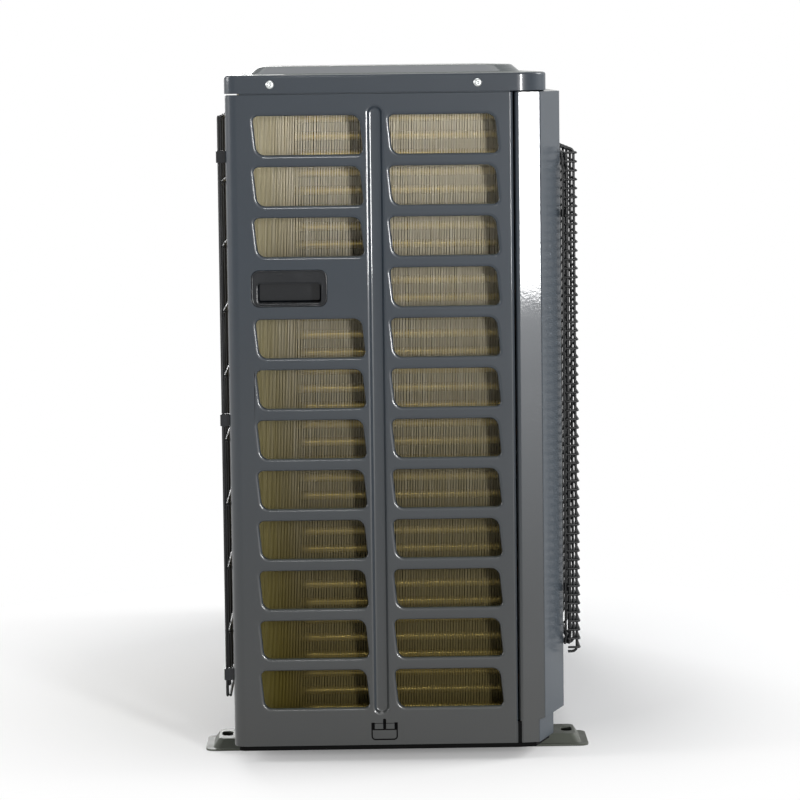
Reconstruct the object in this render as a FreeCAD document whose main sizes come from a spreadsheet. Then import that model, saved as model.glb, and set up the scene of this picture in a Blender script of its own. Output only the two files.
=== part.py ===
import FreeCAD, Part
import math
import os
import re
import Sketcher

# Outdoor unit of a split heat pump, side discharge, one axial fan.
# Frame: +Z up, the fan guard faces -Y, the finned end is at -X, the service valves at +X.
# Origin: on the floor, in the middle of the overall width and of the foot rails.

os.makedirs("parts", exist_ok=True)
doc = FreeCAD.newDocument("OutdoorUnit")
sheet = doc.addObject("Spreadsheet::Sheet", "Sizes")

# Driving dimensions in millimetres: name, size, meaning.
SIZES = [
    ("body_width", 900, "casing from end panel to end panel"),
    ("rear_face", 165, "rear face of the casing behind the middle of the feet"),
    ("front_face", 160, "lower front face before the middle of the feet"),
    ("bulge_depth", 12, "raised middle of the front before the lower front face"),
    ("seam_place", 122.2, "seam between end panels and front before the middle of the feet"),
    ("seam_gap", 1.4, "open joint between end panel and front panel"),
    ("wall", 1.2, "sheet of the casing panels"),
    ("seat", 0.3, "play between pieces that rest on each other"),
    ("panel_bottom", 16.3, "lower edge of the panels"),
    ("panel_top", 672.3, "upper edge of the panels"),
    ("joggle_height", 18, "set-back flange that the panels reach under the cover"),
    ("rear_corner", 12, "outer radius of the rear corners"),
    ("corner_strip", 27, "flat strip of the front panel on the end faces"),
    ("strip_lean", 4.5, "the strip's front edge inside its rear edge"),
    ("seam_round", 4, "outer radius of the strip's fold at the seam"),
    ("corner_facet", 67, "width of the slanted front corner along the front"),
    ("foot_facet", 5.8, "slanted corner of the lower front behind the upper one"),
    ("return_depth", 14, "inward return at free panel edges"),
    ("left_wrap", 34, "end panel reaching round the rear, coil side"),
    ("foot_length", 394, "foot rail"),
    ("foot_width", 72, "foot rail over its flanges"),
    ("foot_rise", 50, "width of the raised middle of the foot rail"),
    ("foot_height", 11, "top of the foot rail"),
    ("foot_sheet", 2, "sheet of the foot rail"),
    ("foot_slope", 7, "run of the sloping sides of the foot rail"),
    ("foot_lip", 6, "flange beyond the slope at the rail ends"),
    ("foot_corner", 9, "corner radius of the foot rail"),
    ("foot_inset", 95, "middle of the foot rail from the end of the casing"),
    ("slot_end", 21.5, "mounting slot from the end of the foot rail"),
    ("slot_length", 23, "mounting slot along the casing"),
    ("slot_width", 11, "mounting slot across"),
    ("pan_sheet", 1.2, "sheet of the base pan"),
    ("pan_rim", 27, "height of the base pan"),
    ("pan_set_back", 3, "foot of the base pan behind its rim"),
    ("pan_ledge", 17, "lower edge of the rim above the floor"),
    ("pan_boss", 6, "height of the compressor seats in the pan"),
    ("drain_hole", 25, "drain hole in the pan"),
    ("drain_left", 170, "drain hole from the coil end of the casing"),
    ("vent_pitch", 50.73, "rows of the end panel"),
    ("vent_rows", 12, "rows of the end panel"),
    ("vent_height", 38.7, "height of a slot"),
    ("vent_width", 105.7, "width of a slot"),
    ("vent_lean", 4, "lean of a slot towards the front at its foot"),
    ("vent_top", 651, "top of the highest slot"),
    ("vent_rear", 137.6, "rear end of the rear column behind the middle of the feet"),
    ("vent_front", 103.2, "front end of the front column before the middle of the feet"),
    ("vent_large", 9, "corner radius of a slot, wide corners"),
    ("vent_small", 5, "corner radius of a slot, narrow corners"),
    ("groove_width", 17, "pressed groove of the end panel"),
    ("groove_depth", 4, "pressed groove of the end panel"),
    ("groove_place", 16, "middle of the groove behind the middle of the feet"),
    ("groove_top", 661, "upper end of the groove"),
    ("groove_bottom", 47, "lower end of the groove"),
    ("hook_place", 13.5, "middle of the hook slot behind the middle of the feet"),
    ("hook_width", 26, "hook slot"),
    ("hook_bottom", 21.5, "lower edge of the hook slot"),
    ("hook_height", 17.5, "hook slot"),
    ("hook_gap", 3, "side openings of the hook slot"),
    ("hook_opening", 7, "height of the side openings"),
    ("hook_key", 3, "keyhole between them"),
    ("hook_key_tall", 11, "keyhole between them"),
    ("grip_place", 103.3, "middle of the hand grip behind the middle of the feet"),
    ("grip_height", 479.2, "middle of the hand grip above the floor"),
    ("grip_width", 75.4, "flange of the hand grip"),
    ("grip_tall", 36.5, "flange of the hand grip"),
    ("grip_corner", 8, "flange corner of the hand grip"),
    ("grip_flange", 1.6, "thickness of the flange and depth of its recess"),
    ("grip_lap", 3, "flange beyond the hole in the panel"),
    ("grip_cup", 25, "depth of the hand grip"),
    ("grip_shell", 1.8, "wall of the hand grip"),
    ("mouth_width", 63.3, "mouth of the hand grip"),
    ("mouth_tall", 19.6, "mouth of the hand grip"),
    ("mouth_low", 3.4, "mouth above the lower edge of the flange"),
    ("cover_overhang", 0.6, "cover beyond the casing"),
    ("cover_front", 156, "front of the cover before the middle of the feet"),
    ("cover_skirt", 673.5, "lower edge of the cover"),
    ("cover_top", 692, "flat rim of the cover"),
    ("cover_rise", 8, "raised middle of the cover"),
    ("cover_border", 24, "flat rim of the cover, width"),
    ("cover_slope", 9, "run of the sloping edge of the raised middle"),
    ("cover_corner", 31, "front corner radius of the cover"),
    ("cover_sheet", 1.2, "sheet of the cover"),
    ("bulge_foot", 41, "lower edge of the raised front"),
    ("bulge_slope", 1.5, "rise of the step under the raised front"),
    ("fan_panel_width", 632, "front panel from the coil end to its joint"),
    ("guard_left", 58, "fan guard from the coil end of the casing"),
    ("guard_width", 524, "fan guard"),
    ("guard_bottom", 96.7, "fan guard above the floor"),
    ("guard_height", 519, "fan guard"),
    ("guard_stand", 17.3, "fan guard before the raised front"),
    ("guard_wire", 2.4, "cross wires of the fan guard, across the flats"),
    ("guard_pitch", 9.05, "cross wires of the fan guard"),
    ("guard_upright", 2.8, "uprights of the fan guard"),
    ("guard_columns", 8, "uprights of the fan guard between its ends"),
    ("guard_frame", 4, "frame rod of the fan guard"),
    ("guard_backing", 2.4, "thin rod of the fan guard next to the casing"),
    ("guard_chamfer", 14, "cut corners of the frame rods"),
    ("guard_lift", 0.6, "thin rod of the fan guard before its feet"),
    ("guard_gap", 0.9, "between the thin rod and the frame rod"),
    ("guard_cut", 5.5, "cut corners of the uprights"),
    ("guard_foot", 8, "feet of the fan guard"),
    ("outlet_bore", 488, "air outlet in the front panel"),
    ("shroud_bore", 472, "throat of the fan shroud"),
    ("shroud_sheet", 1.5, "sheet of the fan shroud"),
    ("shroud_flange", 252, "outer radius of the shroud flange"),
    ("shroud_length", 54, "fan shroud along the fan axis"),
    ("shroud_flare", 10, "flare at the inner end of the shroud"),
    ("fan_bore", 458, "fan over its blades"),
    ("hub_width", 140, "fan hub"),
    ("hub_shell", 3, "wall of the fan hub"),
    ("hub_front", 146, "front of the hub before the middle of the feet"),
    ("hub_length", 76, "fan hub along its axis"),
    ("hub_boss", 34, "boss of the hub round the shaft"),
    ("blade_count", 3, "blades"),
    ("blade_wall", 4, "thickness of a blade"),
    ("blade_root", 105, "chord of a blade at the hub"),
    ("blade_tip", 320, "chord of a blade at its tip"),
    ("blade_pitch_root", 44, "blade angle at the hub in degrees"),
    ("blade_pitch_tip", 21, "blade angle at the tip in degrees"),
    ("blade_sweep", 60, "forward lean of the blade tip"),
    ("blade_front", 108, "middle of the blades before the middle of the feet"),
    ("shaft_width", 10, "fan shaft"),
    ("shaft_thread", 8, "threaded end of the fan shaft"),
    ("running_play", 0.05, "radial play of shaft and bores"),
    ("nut_flats", 13, "fan nut across its flats"),
    ("nut_height", 8, "fan nut"),
    ("motor_width", 116, "fan motor"),
    ("motor_front", 44, "front of the motor body before the middle of the feet"),
    ("motor_rear", 36, "mounting face of the motor behind the middle of the feet"),
    ("motor_nose", 8, "front boss of the motor"),
    ("motor_lugs", 132, "mounting plate of the motor"),
    ("lug_plate", 3, "thickness of the mounting plate"),
    ("stay_spacing", 112, "uprights of the motor bracket"),
    ("stay_width", 26, "upright of the motor bracket"),
    ("stay_depth", 24, "upright of the motor bracket"),
    ("stay_sheet", 1.6, "sheet of the motor bracket"),
    ("coil_inset", 30, "outer face of the coil from the end panel"),
    ("coil_depth", 22, "fins through the coil"),
    ("coil_rear", 156, "rear face of the coil behind the middle of the feet"),
    ("coil_bend", 70, "outer radius of the coil bend"),
    ("coil_front", 112, "front end of the fins before the middle of the feet"),
    ("coil_right", 610, "inner end of the fins from the coil end of the casing"),
    ("coil_bottom", 20, "lowest fin edge above the floor"),
    ("fin_pitch", 12.8, "grooves that stand for the gaps between the fins"),
    ("fin_groove", 6.4, "width of these grooves"),
    ("fin_relief", 4.4, "depth of these grooves"),
    ("tube_pitch", 18.2, "tubes of the coil"),
    ("tube_count", 36, "tubes of the coil"),
    ("tube_width", 8, "tube of the coil"),
    ("bend_reach", 14, "return bends beyond the end plates"),
    ("end_plate", 1.2, "end plates of the coil"),
    ("circuit_tubes", 12, "tubes of one circuit"),
    ("header_width", 16, "gas header"),
    ("header_reach", 34, "gas header beyond the end plate"),
    ("spreader_width", 10, "liquid header"),
    ("spreader_reach", 20, "liquid header beyond the end plate"),
    ("spreader_aside", 20, "liquid header before the middle of the coil"),
    ("gas_header_low", 206, "lower end of the gas header above the floor"),
    ("partition_sheet", 1.2, "partition"),
    ("compressor_right", 115, "compressor from the valve end of the casing"),
    ("compressor_place", 10, "compressor behind the middle of the feet"),
    ("compressor_width", 118, "compressor shell"),
    ("compressor_tall", 288, "compressor shell"),
    ("dome", 26, "height of the shell ends"),
    ("compressor_foot", 3, "foot plate of the compressor"),
    ("foot_circle", 78, "radius of the compressor seats"),
    ("grommet_width", 30, "rubber grommet"),
    ("grommet_height", 14, "rubber grommet"),
    ("stud_width", 8, "compressor stud"),
    ("accumulator_width", 70, "accumulator"),
    ("accumulator_low", 92, "lower end of the accumulator above the floor"),
    ("suction_drop", 58, "neck of the accumulator below the four-way valve"),
    ("accumulator_neck", 12, "neck of the accumulator"),
    ("accumulator_left", 208, "accumulator from the valve end of the casing"),
    ("accumulator_rear", 60, "accumulator behind the middle of the feet"),
    ("valve_drop", 70, "four-way valve below the tray"),
    ("valve_rear", 110, "four-way valve behind the middle of the feet"),
    ("valve_width", 24, "four-way valve"),
    ("valve_length", 74, "four-way valve"),
    ("port_spacing", 20, "ports of the four-way valve"),
    ("port_length", 18, "ports of the four-way valve"),
    ("gas_pipe", 12.7, "gas pipe"),
    ("liquid_pipe", 6.4, "liquid pipe"),
    ("discharge_pipe", 8, "discharge pipe"),
    ("bend_radius", 16, "bends of the pipes"),
    ("expansion_low", 215, "lower end of the expansion valve above the floor"),
    ("expansion_left", 228, "expansion valve from the valve end of the casing"),
    ("expansion_rear", 130, "expansion valve behind the middle of the feet"),
    ("bracket_sheet", 2, "valve bracket"),
    ("bracket_low", 62, "valve bracket above the floor"),
    ("bracket_tall", 196, "valve bracket"),
    ("bracket_width", 104, "valve bracket"),
    ("bracket_place", -6, "middle of the valve bracket behind the middle of the feet"),
    ("gas_height", 116, "gas service valve above the floor"),
    ("gas_place", -26, "gas service valve behind the middle of the feet"),
    ("liquid_height", 200, "liquid service valve above the floor"),
    ("liquid_place", 16, "liquid service valve behind the middle of the feet"),
    ("gas_flare", 19, "thread of the gas connection"),
    ("liquid_flare", 11.1, "thread of the liquid connection"),
    ("gas_body", 30, "body of the gas service valve"),
    ("liquid_body", 24, "body of the liquid service valve"),
    ("valve_reach", 24, "service valve body before the bracket"),
    ("flare_drop", 34, "flare end below the valve axis"),
    ("flare_shoulder", 2.4, "shoulder above a flare end"),
    ("cap_height", 16, "cap of a service valve"),
    ("valve_cover_depth", 60, "valve cover beyond the casing"),
    ("valve_cover_low", 46, "lower edge of the valve cover"),
    ("valve_cover_tall", 372, "valve cover"),
    ("valve_cover_width", 136, "valve cover"),
    ("valve_cover_wall", 2.2, "wall of the valve cover"),
    ("valve_cover_taper", 10, "draw of the valve cover sides"),
    ("valve_cover_corner", 14, "corner radius of the valve cover"),
    ("pipe_way", 76, "pipe way in the foot of the valve cover"),
    ("pull_width", 70, "finger pull of the valve cover"),
    ("pull_tall", 26, "finger pull of the valve cover"),
    ("pull_depth", 18, "finger pull of the valve cover"),
    ("tray_height", 470, "electrical tray above the floor"),
    ("tray_sheet", 1.2, "electrical tray"),
    ("tray_rim", 22, "electrical tray"),
    ("tray_rear", 58, "rear edge of the tray behind the middle of the feet"),
    ("board_gap", 7, "standoffs of the circuit board"),
    ("board_wall", 1.6, "circuit board"),
    ("capacitor_width", 32, "capacitor"),
    ("capacitor_height", 46, "capacitor"),
    ("sink_reach", 40, "fins of the heat sink"),
    ("sink_tall", 90, "heat sink"),
    ("sink_length", 100, "heat sink"),
    ("sink_base", 6, "base of the heat sink"),
    ("sink_fin", 2, "fin of the heat sink"),
    ("sink_fins", 8, "fins of the heat sink"),
    ("terminal_length", 84, "terminal block"),
    ("terminal_height", 318, "terminal block above the floor"),
    ("rear_wire", 3, "rear guard wire"),
    ("rear_left", 20, "rear guard from the coil end of the casing"),
    ("rear_width", 606, "rear guard"),
    ("rear_low", 64, "rear guard above the floor"),
    ("rear_tall", 588, "rear guard"),
    ("rear_stand", 4.2, "rear guard behind the casing"),
    ("rear_rows", 10, "cross wires of the rear guard"),
    ("rear_columns", 11, "uprights of the rear guard"),
    ("screw_head", 8.8, "screw head"),
    ("screw_head_height", 2.6, "screw head"),
    ("screw_shank", 4, "screw shank"),
    ("screw_length", 7, "screw shank"),
    ("screw_play", 0.3, "radial play of a screw in its hole"),
    ("screw_height", 682, "cover screws above the floor"),
    ("screw_rear", 119.7, "rear cover screw behind the middle of the feet"),
    ("screw_front", 86.6, "front cover screw before the middle of the feet"),
]
for row, (alias, size, meaning) in enumerate(SIZES, 1):
    sheet.set(f"A{row}", alias)
    sheet.set(f"B{row}", str(size))
    sheet.set(f"C{row}", meaning)
    sheet.setAlias(f"B{row}", alias)
doc.recompute()

KNOWN = {alias for alias, size, meaning in SIZES}
WORD = re.compile(r"[A-Za-z_][A-Za-z_0-9]*")
PIECES = []

# Places that follow from the driving dimensions.
LEFT = "(-(body_width + valve_cover_depth) / 2)"
RIGHT = "((body_width - valve_cover_depth) / 2)"
SEAM_REAR = "(seam_gap / 2 - seam_place)"
SEAM_FRONT = "(-seam_place - seam_gap / 2)"
STRIP_END = "(-seam_place - corner_strip)"
BULGE_FACE = "(-front_face - bulge_depth)"
STRIP_RUN = "(corner_strip - seam_gap / 2)"
STRIP_LENGTH = f"sqrt({STRIP_RUN} * {STRIP_RUN} + strip_lean * strip_lean)"
FACET_ACROSS = "(corner_facet - strip_lean)"
FACET_DROP = "(front_face + bulge_depth - seam_place - corner_strip)"
FACET_LENGTH = f"sqrt({FACET_ACROSS} * {FACET_ACROSS} + {FACET_DROP} * {FACET_DROP})"
FOOT_STRIP = f"(strip_lean * ({STRIP_RUN} - foot_facet) / {STRIP_RUN})"
FOOT_RUN = (f"({FOOT_STRIP} + {FACET_ACROSS} / {FACET_DROP}"
            " * (front_face - seam_place - corner_strip + foot_facet))")
PAN_FLOOR = "(foot_height + pan_sheet)"
SLOT_PLACE = "(foot_length / 2 - slot_end)"
FAN_X = f"({LEFT} + guard_left + guard_width / 2)"
FAN_Z = "(guard_bottom + guard_height / 2)"
COIL_LEFT = f"({LEFT} + coil_inset)"
COIL_RIGHT = f"({LEFT} + coil_right)"
COIL_TOP = "(coil_bottom + tube_pitch * tube_count)"
COVER_UNDER = "(cover_top - cover_sheet)"
COMPRESSOR_X = f"({RIGHT} - compressor_right)"
ACCUMULATOR_X = f"({RIGHT} - accumulator_left)"
COMPRESSOR_LOW = f"({PAN_FLOOR} + pan_boss + grommet_height + compressor_foot)"
COMPRESSOR_TOP = f"({COMPRESSOR_LOW} + compressor_tall)"
VALVE_HEIGHT = "(tray_height - valve_drop)"
VALVE_FOOT = f"({VALVE_HEIGHT} - valve_width / 2 - port_length)"
ACCUMULATOR_MOUTH = f"({VALVE_FOOT} - suction_drop)"
ACCUMULATOR_TOP = f"({ACCUMULATOR_MOUTH} - accumulator_neck)"

# How far the corners of the front move when its sides move in by 1: the fold at the seam, the
# end of the strip across and along the casing, and the front end of the slanted corner.
SEAM_SHIFT = f"(({STRIP_LENGTH} + strip_lean) / {STRIP_RUN})"
LEAN_SHIFT = f"(({STRIP_LENGTH} - {STRIP_RUN}) / strip_lean)"
CORNER_SQUARE = (f"(1 + ({STRIP_RUN} * {FACET_DROP} + strip_lean * {FACET_ACROSS})"
                 f" / ({STRIP_LENGTH} * {FACET_LENGTH}))")
STRIP_ACROSS = f"(({STRIP_RUN} / {STRIP_LENGTH} + {FACET_DROP} / {FACET_LENGTH}) / {CORNER_SQUARE})"
STRIP_ALONG = f"((strip_lean / {STRIP_LENGTH} + {FACET_ACROSS} / {FACET_LENGTH}) / {CORNER_SQUARE})"
FRONT_SHIFT = f"(({FACET_LENGTH} - {FACET_ACROSS}) / {FACET_DROP})"


def tie(text):
    """An expression over the sheet's aliases, as the document's objects read it."""
    return WORD.sub(lambda found: "Sizes." + found.group(0) if found.group(0) in KNOWN else found.group(0), str(text))


def mm(text):
    """The value of such an expression in millimetres."""
    value = sheet.evalExpression(tie(text))
    return float(getattr(value, "Value", value))


def keep(name, thing):
    """Names a finished piece and lists it for export."""
    thing.Label = name
    PIECES.append(thing)
    return thing


def new_body(name):
    """An empty body for the piece of that name."""
    return keep(name, doc.addObject("PartDesign::Body", name))


def origin_item(body, role):
    """One of the body's own origin planes or axes."""
    return next(item for item in body.Origin.OriginFeatures if item.Role == role)


def sketch(body, name, role, away="0", across="0", up="0"):
    """A sketch on an origin plane, moved along its normal by away."""
    made = body.newObject("Sketcher::SketchObject", name)
    made.AttachmentSupport = [(origin_item(body, role), "")]
    made.MapMode = "FlatFace"
    for axis, text in zip("xyz", (across, up, away)):
        made.setExpression(f"AttachmentOffset.Base.{axis}", tie(text))
    return made


def corner_points(before, corner, after, radius):
    """Where a rounding of that radius leaves the two sides of a corner, and its centre."""
    to_before = (before[0] - corner[0], before[1] - corner[1])
    to_after = (after[0] - corner[0], after[1] - corner[1])
    long_before = math.hypot(*to_before)
    long_after = math.hypot(*to_after)
    unit_before = (to_before[0] / long_before, to_before[1] / long_before)
    unit_after = (to_after[0] / long_after, to_after[1] / long_after)
    half = math.acos(unit_before[0] * unit_after[0] + unit_before[1] * unit_after[1]) / 2
    back = radius / math.tan(half)
    enter = (corner[0] + unit_before[0] * back, corner[1] + unit_before[1] * back)
    leave = (corner[0] + unit_after[0] * back, corner[1] + unit_after[1] * back)
    between = (unit_before[0] + unit_after[0], unit_before[1] + unit_after[1])
    long_between = math.hypot(*between)
    deep = radius / math.sin(half)
    centre = (corner[0] + between[0] / long_between * deep, corner[1] + between[1] / long_between * deep)
    turns_left = unit_before[0] * unit_after[1] - unit_before[1] * unit_after[0] < 0
    return enter, leave, centre, turns_left


def outline(drawn, corners):
    """A closed outline of straight sides. Each corner is across, up and, if rounded, a radius."""
    corners = [corner if len(corner) == 3 else (*corner, None) for corner in corners]
    places = [(mm(across), mm(up)) for across, up, radius in corners]
    count = len(places)
    rounds = {}
    for index, (across, up, radius) in enumerate(corners):
        if radius is not None:
            after = places[(index + 1) % count]
            rounds[index] = corner_points(places[index - 1], places[index], after, mm(radius))
    sides = []
    for index in range(count):
        ahead = (index + 1) % count
        start = rounds[index][1] if index in rounds else places[index]
        end = rounds[ahead][0] if ahead in rounds else places[ahead]
        side = Part.LineSegment(FreeCAD.Vector(*start, 0), FreeCAD.Vector(*end, 0))
        sides.append(drawn.addGeometry(side, False))
    for index, (across, up, radius) in enumerate(corners):
        before, after = sides[index - 1], sides[index]
        if radius is None:
            drawn.addConstraint(Sketcher.Constraint("Coincident", before, 2, after, 1))
            marked = after
        else:
            enter, leave, centre, turns_left = rounds[index]
            from_angle = math.atan2(enter[1] - centre[1], enter[0] - centre[0])
            to_angle = math.atan2(leave[1] - centre[1], leave[0] - centre[0])
            if not turns_left:
                from_angle, to_angle = to_angle, from_angle
            circle = Part.Circle(FreeCAD.Vector(*centre, 0), FreeCAD.Vector(0, 0, 1), mm(radius))
            arc = drawn.addGeometry(Part.ArcOfCircle(circle, from_angle, to_angle), False)
            first, last = (1, 2) if turns_left else (2, 1)
            marked = drawn.addGeometry(Part.Point(FreeCAD.Vector(*places[index], 0)), True)
            drawn.addConstraint([
                Sketcher.Constraint("Tangent", before, 2, arc, first),
                Sketcher.Constraint("Tangent", arc, last, after, 1),
                Sketcher.Constraint("PointOnObject", marked, 1, before),
                Sketcher.Constraint("PointOnObject", marked, 1, after)])
            sized = drawn.addConstraint(Sketcher.Constraint("Radius", arc, mm(radius)))
            drawn.setExpression(f"Constraints[{sized}]", tie(radius))
        for kind, text, value in zip(("DistanceX", "DistanceY"), (across, up), places[index]):
            sized = drawn.addConstraint(Sketcher.Constraint(kind, marked, 1, value))
            drawn.setExpression(f"Constraints[{sized}]", tie(text))
    return drawn


def frame_outline(drawn, low_across, low_up, high_across, high_up, radius=None):
    """A rectangle between two corners, with one corner radius."""
    tail = () if radius is None else (radius,)
    return outline(drawn, [
        (low_across, low_up, *tail), (high_across, low_up, *tail),
        (high_across, high_up, *tail), (low_across, high_up, *tail)])


def circle(drawn, across, up, radius):
    """A full circle in a sketch."""
    ring = Part.Circle(FreeCAD.Vector(mm(across), mm(up), 0), FreeCAD.Vector(0, 0, 1), mm(radius))
    made = drawn.addGeometry(ring, False)
    for kind, text in (("DistanceX", across), ("DistanceY", up)):
        sized = drawn.addConstraint(Sketcher.Constraint(kind, made, 3, mm(text)))
        drawn.setExpression(f"Constraints[{sized}]", tie(text))
    sized = drawn.addConstraint(Sketcher.Constraint("Radius", made, mm(radius)))
    drawn.setExpression(f"Constraints[{sized}]", tie(radius))
    return drawn


def pad(body, drawn, name, length, toward=1):
    """Material from the sketch along its plane's normal, or against it."""
    made = body.newObject("PartDesign::Pad", name)
    made.Profile = drawn
    made.setExpression("Length", tie(length))
    made.Reversed = toward < 0
    return made


def pocket(body, drawn, name, length, toward):
    """A cut from the sketch along its plane's normal (toward 1) or against it (-1)."""
    doc.recompute()
    volume = body.Shape.Volume
    made = body.newObject("PartDesign::Pocket", name)
    made.Profile = drawn
    made.setExpression("Length", tie(length))
    made.Reversed = toward > 0
    doc.recompute()
    if not body.Shape.Volume < volume - 0.01:
        raise ValueError(f"{name} cuts nothing from {body.Label}")
    return made


def loft(body, name, low, high, kind="AdditiveLoft"):
    """A ruled body between two sketches with the same number of corners."""
    made = body.newObject(f"PartDesign::{kind}", name)
    made.Profile = low
    made.Sections = [high]
    made.Ruled = True
    return made


def repeat(body, feature, name, role, length, count, back=False):
    """A row of one feature along an origin axis."""
    made = body.newObject("PartDesign::LinearPattern", name)
    made.Originals = [feature]
    made.Direction = (origin_item(body, role), [""])
    made.Reversed = back
    made.setExpression("Length", tie(length))
    made.setExpression("Occurrences", tie(count))
    body.Tip = made
    return made


def turned(name, axis, centre, profile):
    """A piece turned about a line through centre: profile corners are along the line, then radius."""
    body = new_body(name)
    x, y, z = centre
    if axis == "X":
        drawn = sketch(body, f"{name}_profile", "XZ_Plane", away=f"-({y})", up=z)
        outline(drawn, profile)
        line = "H_Axis"
    elif axis == "Y":
        drawn = sketch(body, f"{name}_profile", "YZ_Plane", away=x, up=z)
        outline(drawn, profile)
        line = "H_Axis"
    else:
        drawn = sketch(body, f"{name}_profile", "XZ_Plane", away=f"-({y})", across=x)
        outline(drawn, [(corner[1], corner[0], *corner[2:]) for corner in profile])
        line = "V_Axis"
    made = body.newObject("PartDesign::Revolution", f"{name}_turn")
    made.Profile = drawn
    made.ReferenceAxis = (drawn, [line])
    made.Angle = 360
    return body


def place(thing, x, y, z):
    """Binds the place of a primitive."""
    for axis, text in zip("xyz", (x, y, z)):
        thing.setExpression(f"Placement.Base.{axis}", tie(text))
    return thing


def block(name, low, high):
    """A box between two corners."""
    made = doc.addObject("Part::Box", name)
    for side, lower, upper in zip(("Length", "Width", "Height"), low, high):
        made.setExpression(side, tie(f"({upper}) - ({lower})"))
    return place(made, *low)


TURNS = {"X": FreeCAD.Rotation(FreeCAD.Vector(0, 1, 0), 90),
         "Y": FreeCAD.Rotation(FreeCAD.Vector(1, 0, 0), -90),
         "Z": FreeCAD.Rotation()}


def cylinder(name, axis, start, length, width):
    """A round bar of that width from its start along +X, +Y or +Z."""
    made = doc.addObject("Part::Cylinder", name)
    made.setExpression("Radius", tie(f"({width}) / 2"))
    made.setExpression("Height", tie(length))
    made.Placement = FreeCAD.Placement(FreeCAD.Vector(), TURNS[axis])
    return place(made, *start)


def prism(name, axis, start, length, flats):
    """A hexagonal bar from its start along +X, +Y or +Z."""
    made = doc.addObject("Part::Prism", name)
    made.Polygon = 6
    made.setExpression("Circumradius", tie(f"({flats}) / sqrt(3)"))
    made.setExpression("Height", tie(length))
    made.Placement = FreeCAD.Placement(FreeCAD.Vector(), TURNS[axis])
    return place(made, *start)


def joined(name, things):
    """One solid from several that touch or overlap."""
    made = doc.addObject("Part::MultiFuse", name)
    made.Shapes = things
    made.Refine = True
    return made


def without(name, base, tools):
    """A solid less one or more others."""
    made = doc.addObject("Part::Cut", name)
    made.Base = base
    made.Tool = tools[0] if len(tools) == 1 else joined(f"{name}_tools", tools)
    return made


def grouped(name, things):
    """Separate solids kept together as one node."""
    made = doc.addObject("Part::Compound", name)
    made.Links = things
    return made


def shaped(name, shape):
    """A piece whose shape is worked out below from the sheet's values."""
    made = doc.addObject("Part::Feature", name)
    made.Shape = shape
    return keep(name, made)


def vector(x, y, z):
    """A point from three expressions or numbers."""
    return FreeCAD.Vector(mm(x), mm(y), mm(z))


def ring_at(start, ahead, radius, sides, turn=0.5):
    """A regular polygon square to the path at its start."""
    along = (ahead - start).normalize()
    helper = FreeCAD.Vector(0, 0, 1) if abs(along.z) < 0.9 else FreeCAD.Vector(1, 0, 0)
    first = along.cross(helper).normalize()
    second = along.cross(first)
    reach = radius / math.cos(math.pi / sides)
    points = []
    for step in range(sides + 1):
        angle = 2 * math.pi * (step % sides + turn) / sides
        points.append(start + first * (reach * math.cos(angle)) + second * (reach * math.sin(angle)))
    return Part.makePolygon(points)


def sweep(path, profile, sharp):
    """A solid of that profile along the path, with mitred corners where it is sharp."""
    shell = Part.BRepOffsetAPI.MakePipeShell(path)
    shell.add(profile)
    shell.setTransitionMode(1 if sharp else 0)
    shell.build()
    shell.makeSolid()
    return shell.shape()


def bent_wire(points, width, sides=6, turn=0.5):
    """A wire of hexagonal section through the points, with mitred bends."""
    path = Part.makePolygon(points)
    return sweep(path, ring_at(points[0], points[1], width / 2, sides, turn), True)


def straight_lengths(points, width, turn=0.5, closed=False):
    """A bent wire of hexagonal section as one solid for each straight run, mitred where two runs meet."""
    runs = list(zip(points, points[1:] + points[:1] if closed else points[1:]))
    headings = [(end - start).normalize() for start, end in runs]
    profile = ring_at(points[0], points[1], width / 2, 6, turn).Vertexes[:6]
    ring = [vertex.Point for vertex in profile]
    if closed:
        ring = slid(ring, headings[0], points[0], headings[0] + headings[-1])
    lengths = []
    for index, (start, end) in enumerate(runs):
        last = index == len(runs) - 1
        following = headings[0] if closed and last else headings[min(index + 1, len(runs) - 1)]
        far = slid(ring, headings[index], end, headings[index] + following)
        sides = [Part.Face(Part.makePolygon([ring[side - 1], ring[side], far[side], far[side - 1], ring[side - 1]]))
                 for side in range(6)]
        ends = [Part.Face(Part.makePolygon([*loop, loop[0]])) for loop in (ring, far)]
        lengths.append(Part.makeSolid(Part.makeShell(sides + ends)))
        ring = far
    return lengths


def slid(ring, along, place_at, square):
    """The points of the ring moved along the run until they lie in the plane through a corner."""
    return [point + along * ((place_at - point).dot(square) / along.dot(square)) for point in ring]


def bent_pipe(points, width, radius, sides=8):
    """A pipe of many-sided section: straight runs joined by arcs of one radius."""
    edges = []
    start = points[0]
    for before, corner, after in zip(points, points[1:], points[2:]):
        to_before = (before - corner).normalize()
        to_after = (after - corner).normalize()
        half = to_before.getAngle(to_after) / 2
        back = radius / math.tan(half)
        enter = corner + to_before * back
        leave = corner + to_after * back
        deep = radius / math.sin(half) - radius
        crown = corner + (to_before + to_after).normalize() * deep
        edges.append(Part.makeLine(start, enter))
        edges.append(Part.Arc(enter, crown, leave).toShape())
        start = leave
    edges.append(Part.makeLine(start, points[-1]))
    return sweep(Part.Wire(edges), ring_at(points[0], points[1], width / 2, sides), False)


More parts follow.
